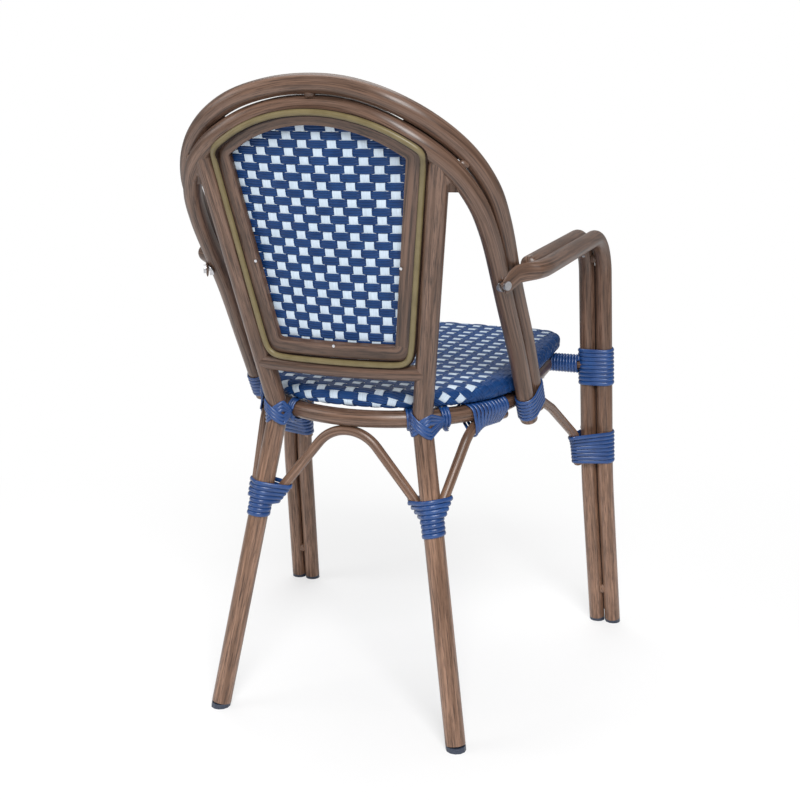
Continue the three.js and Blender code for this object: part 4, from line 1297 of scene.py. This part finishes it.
def lashings():
    ring = ring_line()
    ring.append(ring[0])
    arch = (rear_brace_line(), BRACE_RADIUS)
    up = Vector((0, 0, 1))
    for name, side in SIDES:
        post, rail = post_line(side), rail_line(side)
        outer, inner = outer_leg_line(side), inner_leg_line(side)
        pair = [(outer, LEG_RADIUS), (inner, LEG_RADIUS)]
        brace = (side_brace_line(side), BRACE_RADIUS)
        front_brace = (front_brace_line(side), BRACE_RADIUS)

        start, way = between_heights(post, REAR_LASH_HEIGHTS, side)
        turns = winding([(post, POST_RADIUS), arch, brace], start, way, REAR_LASH_TURNS)
        lashing(f"rear_leg_lashing_{name}", f"lash_rear_leg_{name}", [turns])

        start = at_height(inner, LOW_LASH_HEIGHT, side)
        turns = winding(pair + [front_brace], start, up, LOW_LASH_TURNS)
        lashing(f"front_low_lashing_{name}", f"lash_front_lower_{name}", [turns])

        start = at_height(inner, HIGH_LASH_HEIGHT, side)
        turns = winding(pair, start, up, HIGH_LASH_TURNS)
        lashing(f"front_high_lashing_{name}", f"lash_front_upper_{name}", [turns])

        start, end = (at(*place, side) for place in BRACE_LASH_ENDS)
        turns = winding([(ring, RING_RADIUS), brace], start, end - start, BRACE_LASH_TURNS)
        lashing(f"ring_brace_lashing_{name}", f"lash_ring_brace_{name}", [turns])

        start = rail[0].copy()
        start.x = RAIL_LASH_START * side * MM
        turns = winding([(rail, RAIL_RADIUS)], start, Vector((side, 0, 0)), RAIL_LASH_TURNS,
                        RAIL_LASH_PITCH, RAIL_LASH_SLACK)
        lashing(f"rail_lashing_{name}", f"lash_rail_end_{name}", [turns], (RAIL_STRAND_WIDTH,))

        foot, way = between_heights(outer_hoop, FOOT_LASH_HEIGHTS, side)
        turns = winding([(outer_hoop, HOOP_RADIUS), (inner_hoop, HOOP_RADIUS)],
                        foot + way * FOOT_LASH_START * MM, way, FOOT_LASH_TURNS)
        lashing(f"hoop_foot_lashing_{name}", f"lash_hoop_foot_{name}", [turns])

        post_lashing(name, side, ring, post)


def ring_point(ring, x, side):
    """Where the ring's rear half stands at a width."""
    for a, b in zip(ring, ring[1:]):
        if (a.x - x * side * MM) * (b.x - x * side * MM) <= 0 and a.y > 0:
            return a.lerp(b, (x * side * MM - a.x) / (b.x - a.x))
    return None


def cross_strand(post_spot, ring_spot, ends, fall, offset, lift):
    """One strand laid slantwise over the post, from the ring's top to its underside."""
    origin = Vector((post_spot.x, ring_spot.y, ring_spot.z))
    rear = (post_spot.y - ring_spot.y) / MM
    reach = POST_RADIUS + lift
    hold = RING_RADIUS + lift
    turns = []

    def put(x, y, z, outward):
        turns.append((origin + Vector((x, y, z)) * MM, outward.normalized()))

    def round_the_ring(end, angles):
        shift = (ends[end] - ring_spot) / MM
        for angle in angles:
            s, c = math.sin(angle), -end * fall * math.cos(angle)
            z = hold * c + shift.z - CROSS_DROP + offset * CROSS_GATHER
            put(end * CROSS_HALF, hold * s + shift.y, z, Vector((0, s, c)))

    quarter = [math.pi / 2 * k / CROSS_PARTS for k in range(CROSS_PARTS + 1)]
    round_the_ring(-1, quarter)
    for degrees in range(-CROSS_SWEEP, CROSS_SWEEP + 1, CROSS_STEP):
        s, c = math.sin(math.radians(degrees)), math.cos(math.radians(degrees))
        put(reach * s, rear + reach * c, -fall * CROSS_SLOPE * (reach * s) + offset,
            Vector((s, c, 0)))
    round_the_ring(1, quarter[::-1])
    return turns


def post_lashing(name, side, ring, post):
    """Turns round the ring on both sides of the post, and a cross of strands over it."""
    windings = []
    for first, last, turns in RING_TURNS:
        a, b = ring_point(ring, first, side), ring_point(ring, last, side)
        windings.append(winding([(ring, RING_RADIUS)], a, b - a, turns, RING_PITCH, RING_SLACK))
    middle = ring_point(ring, POST_LASH_MIDDLE, side)
    post_spot = at_height(post, middle.z / MM - CROSS_DROP, side)
    ring_spot = middle - Vector((0, 0, CROSS_DROP * MM))
    ends = {
        end: ring_point(ring, POST_LASH_MIDDLE + side * end * CROSS_HALF, side)
        for end in (-1, 1)
    }
    for fall, lift in CROSS_LAYERS:
        for k in range(CROSS_STRANDS):
            offset = (k - (CROSS_STRANDS - 1) / 2) * CROSS_SPACING
            lifted_by = LASH_SLACK + lift
            windings.append(cross_strand(post_spot, ring_spot, ends, fall, offset, lifted_by))
    crossed = len(CROSS_LAYERS) * CROSS_STRANDS
    widths = [RING_PITCH] * len(RING_TURNS) + [CROSS_WIDTH] * crossed
    lashing(f"post_lashing_{name}", f"lash_post_{name}", windings, widths)


# Shader groups

FINISH = (
    ("Color", "NodeSocketColor"), ("Roughness", "NodeSocketFloat"),
    ("Height", "NodeSocketFloat"),
)
# how much the grain and lines drift from place to place on the chair
DRIFT = 0.02
# painted light and shade: the grain is painted paler and warmer low down, where more light falls,
# and darker high up: (height in metres, shares of the colour)
PAINTED_LIGHT_BY_HEIGHT = ((0.32, (1, 0.89, 0.82, 1)), (0.46, (0.57, 0.515, 0.5, 1)))


def new_group(name, inputs, outputs=FINISH):
    """A node group, the sockets it is given and the sockets it puts out."""
    tree = bpy.data.node_groups.new(name, "ShaderNodeTree")
    for label, kind, value in inputs:
        socket = tree.interface.new_socket(name=label, in_out="INPUT", socket_type=kind)
        socket.default_value = value
    for label, kind in outputs:
        tree.interface.new_socket(name=label, in_out="OUTPUT", socket_type=kind)
    given = tree.nodes.new("NodeGroupInput").outputs
    return tree, given, tree.nodes.new("NodeGroupOutput").inputs


def feed(tree, sockets, values):
    """Gives sockets their plain values, or links to them the sockets that feed them."""
    for label, value in values.items():
        if isinstance(value, bpy.types.NodeSocket):
            tree.links.new(value, sockets[label])
        else:
            sockets[label].default_value = value


def node_of(tree, kind, values, **settings):
    """A new node's outputs, once its settings are made and its inputs fed."""
    node = tree.nodes.new(kind)
    for key, value in settings.items():
        setattr(node, key, value)
    feed(tree, node.inputs, values)
    return node.outputs


def calculated(tree, operation, *values):
    return node_of(tree, "ShaderNodeMath", dict(enumerate(values)), operation=operation)[0]


def noise(tree, vector, scale, detail=4.0, rough=0.55):
    return node_of(tree, "ShaderNodeTexNoise", {
        "Vector": vector, "Scale": scale, "Detail": detail, "Roughness": rough,
    })["Fac"]


def ramp(tree, value, stops):
    node = tree.nodes.new("ShaderNodeValToRGB")
    for element, (place, colour) in zip(node.color_ramp.elements, stops):
        element.position = place
        element.color = colour
    feed(tree, node.inputs, {"Fac": value})
    return node.outputs["Color"]


def mixed(tree, factor, a, b, blend="MIX"):
    return node_of(tree, "ShaderNodeMix", {0: factor, 6: a, 7: b},
                   data_type="RGBA", blend_type=blend)[2]


def grey(value):
    return (value, value, value, 1)


def rising(tree, value, low, high):
    """A mask that is 0 up to the low value and 1 from the high one."""
    return ramp(tree, value, ((low, grey(0)), (high, grey(1))))


def falling(tree, value, low, high):
    """A mask that is 1 up to the low value and 0 from the high one."""
    return ramp(tree, value, ((low, grey(1)), (high, grey(0))))


def object_place(tree):
    return tree.nodes.new("ShaderNodeTexCoord").outputs["Object"]


def along_the_tube():
    """Turns the UV map of a tube into seamless coordinates: round it and along it."""
    tree, given, result = new_group("along_the_tube", (
        ("Round", "NodeSocketFloat", 0.013), ("Stretch", "NodeSocketFloat", 0.05),
    ), (("Vector", "NodeSocketVector"),))
    uv = tree.nodes.new("ShaderNodeUVMap").outputs["UV"]
    split = node_of(tree, "ShaderNodeSeparateXYZ", {0: uv})
    angle = calculated(tree, "MULTIPLY", split["X"], 2 * math.pi)
    cosine, sine = (calculated(tree, operation, angle) for operation in ("COSINE", "SINE"))
    join = node_of(tree, "ShaderNodeCombineXYZ", {
        "X": calculated(tree, "MULTIPLY", cosine, given["Round"]),
        "Y": calculated(tree, "MULTIPLY", sine, given["Round"]),
        "Z": calculated(tree, "MULTIPLY", split["Y"], given["Stretch"]),
    })
    drift = node_of(tree, "ShaderNodeVectorMath", {
        0: object_place(tree), 1: (DRIFT, DRIFT, DRIFT), 2: join[0],
    }, operation="MULTIPLY_ADD")
    feed(tree, result, {"Vector": drift[0]})
    return tree


def grain_and_painted_light():
    """The printed grain: fine fibres, broad light and dark streaks, and a few pores, with painted
    light that makes it paler low down and darker high up.
    """
    tree, given, result = new_group("grain_and_painted_light", (
        ("Vector", "NodeSocketVector", (0, 0, 0)), ("Body", "NodeSocketColor", grey(0.5)),
        ("Light", "NodeSocketColor", grey(0.7)), ("Dark", "NodeSocketColor", grey(0.1)),
    ))
    broad = noise(tree, given["Vector"], 130, 4)
    fine = noise(tree, given["Vector"], 420, 5, 0.7)
    pores = falling(tree, noise(tree, given["Vector"], 1100, 2), 0.28, 0.38)
    colour = mixed(tree, rising(tree, broad, 0.4, 0.62), given["Body"], given["Light"])
    fibres = calculated(tree, "MULTIPLY", falling(tree, fine, 0.36, 0.52), 0.85)
    colour = mixed(tree, fibres, colour, given["Dark"])
    spots = calculated(tree, "MULTIPLY", pores, 0.5)
    colour = mixed(tree, spots, colour, given["Dark"])
    height = node_of(tree, "ShaderNodeSeparateXYZ", {0: object_place(tree)})["Z"]
    # painted light and shade: the grain's colour is multiplied by a ramp over height
    feed(tree, result, {
        "Color": mixed(tree, 1.0, colour, ramp(tree, height, PAINTED_LIGHT_BY_HEIGHT), "MULTIPLY"),
        "Roughness": calculated(tree, "MULTIPLY_ADD", fine, 0.2, 0.28),
        "Height": calculated(tree, "SUBTRACT", fine, pores),
    })
    return tree


def strand_finish():
    """Moulded strand: fine lines along it, a soft change of tone and a little dust."""
    tree, given, result = new_group("strand_finish", (
        ("Vector", "NodeSocketVector", (0, 0, 0)), ("Body", "NodeSocketColor", grey(0.5)),
        ("Worn", "NodeSocketColor", grey(0.7)), ("Lines", "NodeSocketFloat", 1.0),
    ))
    lines = noise(tree, given["Vector"], 900, 3, 0.6)
    tone = noise(tree, object_place(tree), 60, 3)
    colour = mixed(tree, rising(tree, tone, 0.35, 0.75), given["Body"], given["Worn"])
    shade = ramp(tree, lines, ((0.2, grey(0.82)), (0.7, grey(1.08))))
    feed(tree, result, {
        "Color": mixed(tree, 1.0, colour, shade, "MULTIPLY"),
        "Roughness": calculated(tree, "MULTIPLY_ADD", tone, 0.25, 0.28),
        "Height": calculated(tree, "MULTIPLY", lines, given["Lines"]),
    })
    return tree


def speckled():
    """Speckle by place for small metal and rubber pieces."""
    tree, given, result = new_group("speckled", (
        ("Scale", "NodeSocketFloat", 300.0), ("Body", "NodeSocketColor", grey(0.5)),
        ("Spot", "NodeSocketColor", grey(0.4)),
    ))
    speckle = noise(tree, object_place(tree), given["Scale"], 4, 0.5)
    feed(tree, result, {
        "Color": mixed(tree, rising(tree, speckle, 0.4, 0.65), given["Body"], given["Spot"]),
        "Roughness": calculated(tree, "MULTIPLY_ADD", speckle, 0.3, 0.2),
        "Height": speckle,
    })
    return tree


tube_lines = along_the_tube()
grain_light_group = grain_and_painted_light()
strand_group = strand_finish()
speckle_group = speckled()


# Materials

# (radius the pattern is laid on, stretch along the piece)
WOOD_LINES = (0.02, 0.045)
STRAND_LINES = (0.006, 0.05)
BEAD_LINES = (0.004, 0.05)
COAT_ROUGHNESS = 0.27
RELIEF_DEPTH = 0.0002


def sheet(name, group, bump, lines=None, metallic=0.0, coat=0.0, shine=0.5, **values):
    """A material whose colour, roughness and bump come from one group and its values."""
    look = bpy.data.materials.new(name)
    look.use_nodes = True
    tree = look.node_tree
    values = {k: (*v, 1) if isinstance(v, tuple) else v for k, v in values.items()}
    if lines:
        sizes = {"Round": lines[0], "Stretch": lines[1]}
        values["Vector"] = node_of(tree, "ShaderNodeGroup", sizes, node_tree=tube_lines)["Vector"]
    effect = node_of(tree, "ShaderNodeGroup", values, node_tree=group)
    relief = node_of(tree, "ShaderNodeBump", {
        "Strength": bump, "Distance": RELIEF_DEPTH, "Height": effect["Height"],
    })
    feed(tree, tree.nodes["Principled BSDF"].inputs, {
        "Metallic": metallic, "Coat Weight": coat, "Coat Roughness": COAT_ROUGHNESS,
        "Specular IOR Level": shine, "Base Color": effect["Color"],
        "Roughness": effect["Roughness"], "Normal": relief["Normal"],
    })
    return look


grain = sheet(
    "grained_tube", grain_light_group, 0.3, WOOD_LINES, coat=0.32, shine=0.35,
    Body=(0.16, 0.095, 0.061), Light=(0.31, 0.2, 0.142), Dark=(0.036, 0.02, 0.014),
)
frame_grain = sheet(
    "grained_frame", grain_light_group, 0.3, WOOD_LINES, coat=0.3, shine=0.35,
    Body=(0.118, 0.07, 0.045), Light=(0.25, 0.158, 0.112), Dark=(0.024, 0.013, 0.009),
)
# painted shade: a near-black grain for the dark strips that stand for shade in the creases and
# behind the bead
painted_shade_grain = sheet(
    "painted_shade_seam", grain_light_group, 0.2, WOOD_LINES, shine=0.2,
    Body=(0.028, 0.017, 0.012), Light=(0.05, 0.03, 0.022), Dark=(0.008, 0.005, 0.004),
)
navy_weave = sheet(
    "navy_weave", strand_group, 0.3, STRAND_LINES, shine=0.25,
    Body=(0.0045, 0.029, 0.11), Worn=(0.009, 0.045, 0.155),
)
# painted light: a paler copy of the navy strand, for the seat's weave that is lit from above
navy_seat = sheet(
    "navy_seat", strand_group, 0.3, STRAND_LINES, shine=0.2,
    Body=(0.005, 0.034, 0.128), Worn=(0.01, 0.053, 0.18),
)
lash_strand = sheet(
    "lashing_strand", strand_group, 0.3, STRAND_LINES, coat=0.4,
    Body=(0.006, 0.042, 0.165), Worn=(0.012, 0.066, 0.235),
)
white = sheet(
    "pale_weave", strand_group, 0.2, STRAND_LINES,
    Body=(0.47, 0.565, 0.665), Worn=(0.545, 0.635, 0.735),
)
gold = sheet(
    "olive_gold", strand_group, 0.15, BEAD_LINES, Lines=0.6,
    Body=(0.135, 0.105, 0.044), Worn=(0.18, 0.142, 0.066),
)
steel = sheet(
    "bright_steel", speckle_group, 0.08, metallic=1.0, Scale=500.0,
    Body=(0.62, 0.62, 0.64), Spot=(0.5, 0.5, 0.52),
)
rubber = sheet(
    "dark_rubber", speckle_group, 0.2, Scale=350.0,
    Body=(0.028, 0.038, 0.062), Spot=(0.045, 0.056, 0.085),
)
bare_bar = sheet(
    "bare_bar", speckle_group, 0.1, metallic=0.9, Scale=400.0,
    Body=(0.4, 0.4, 0.41), Spot=(0.3, 0.3, 0.31),
)


def dress_frame_nodes():
    """Gives the carried-over solids the finish of their kind."""
    looks = (
        ("seat_screw", steel), ("seat_spacer", bare_bar), ("seat_frame", bare_bar),
        ("panel_screw", steel), ("arm_", steel), ("foot_cap", rubber),
    )
    for name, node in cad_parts.items():
        for start, look in looks:
            if name.startswith(start):
                node.data.materials.clear()
                node.data.materials.append(look)


# Stage

FLOOR_SIZE = 40
FLOOR_COLOUR = (0.95, 0.95, 0.95, 1)
# how white the camera sees the floor: from one distance to another it rises to 1
FLOOR_WHITENESS = 0.6
FLOOR_NEAR = 0.4
FLOOR_FAR = 1.3
WORLD_STRENGTH = 0.32
LAMP_AIM = (0, 0, 0.45)
LAMPS = (
    ("window_lamp", (-1.3, 2.6, 3.0), 1.6, 135),
    ("fill_lamp", (2.6, 1.6, 2.0), 1.8, 26),
    ("top_lamp", (0.6, -1.2, 3.2), 2.2, 38),
)
SENSOR_WIDTH = 36


def camera_ray(tree):
    return tree.nodes.new("ShaderNodeLightPath").outputs["Is Camera Ray"]


def floor_look():
    """A pale matt ground that the camera sees nearly white where no shadow falls on it."""
    look = bpy.data.materials.new("pale_floor")
    look.use_nodes = True
    tree = look.node_tree
    shader = tree.nodes["Principled BSDF"]
    feed(tree, shader.inputs, {
        "Base Color": FLOOR_COLOUR, "Roughness": 0.9, "Specular IOR Level": 0.0,
    })
    bright = node_of(tree, "ShaderNodeEmission", {"Color": grey(1)})
    reach = node_of(tree, "ShaderNodeVectorMath", {0: object_place(tree)}, operation="LENGTH")
    fade = node_of(tree, "ShaderNodeMapRange", {
        "Value": reach["Value"], "From Min": FLOOR_NEAR, "From Max": FLOOR_FAR,
        "To Min": FLOOR_WHITENESS,
    })
    share = calculated(tree, "MULTIPLY", camera_ray(tree), fade["Result"])
    blend = node_of(tree, "ShaderNodeMixShader", {0: share, 1: shader.outputs[0], 2: bright[0]})
    feed(tree, tree.nodes["Material Output"].inputs, {"Surface": blend[0]})
    return look


def stage():
    bpy.ops.object.select_all(action="DESELECT")
    bpy.ops.mesh.primitive_plane_add(size=FLOOR_SIZE, location=(0, 0, 0))
    floor = bpy.context.active_object
    floor.name = "floor"
    floor.data.materials.append(floor_look())


def world_light():
    """A soft white room that the camera sees as plain white."""
    world = bpy.data.worlds.new("soft_room")
    bpy.context.scene.world = world
    world.use_nodes = True
    tree = world.node_tree
    room = tree.nodes["Background"]
    feed(tree, room.inputs, {"Color": grey(1), "Strength": WORLD_STRENGTH})
    plain = node_of(tree, "ShaderNodeBackground", {"Color": grey(1), "Strength": 1.0})
    choose = node_of(tree, "ShaderNodeMixShader", {
        0: camera_ray(tree), 1: room.outputs[0], 2: plain[0],
    })
    feed(tree, tree.nodes["World Output"].inputs, {"Surface": choose[0]})


def lamps():
    for name, place, size, power in LAMPS:
        data = bpy.data.lights.new(name, "AREA")
        data.size = size
        data.energy = power
        lamp = bpy.data.objects.new(name, data)
        lamp.location = place
        aim = Vector(LAMP_AIM) - lamp.location
        lamp.rotation_euler = aim.to_track_quat("-Z", "Y").to_euler()
        bpy.context.collection.objects.link(lamp)


def camera():
    data = bpy.data.cameras.new("camera")
    data.lens = CAMERA_LENS
    data.sensor_width = SENSOR_WIDTH
    view = bpy.data.objects.new("camera", data)
    view.location = at(*CAMERA_PLACE)
    forward = Vector((
        math.sin(CAMERA_YAW) * math.cos(CAMERA_PITCH),
        -math.cos(CAMERA_YAW) * math.cos(CAMERA_PITCH),
        -math.sin(CAMERA_PITCH),
    ))
    view.rotation_euler = forward.to_track_quat("-Z", "Y").to_euler()
    bpy.context.collection.objects.link(view)
    bpy.context.scene.camera = view


camera()
world_light()
lamps()
stage()
hoops()
hoop_welds()
crease_shades()
posts()
front_legs()
seat_frame_tubes()
panel_frame()
gold_bead()
back_weave()
seat_weave()
lashings()
dress_frame_nodes()

bpy.context.scene.view_settings.view_transform = "Standard"
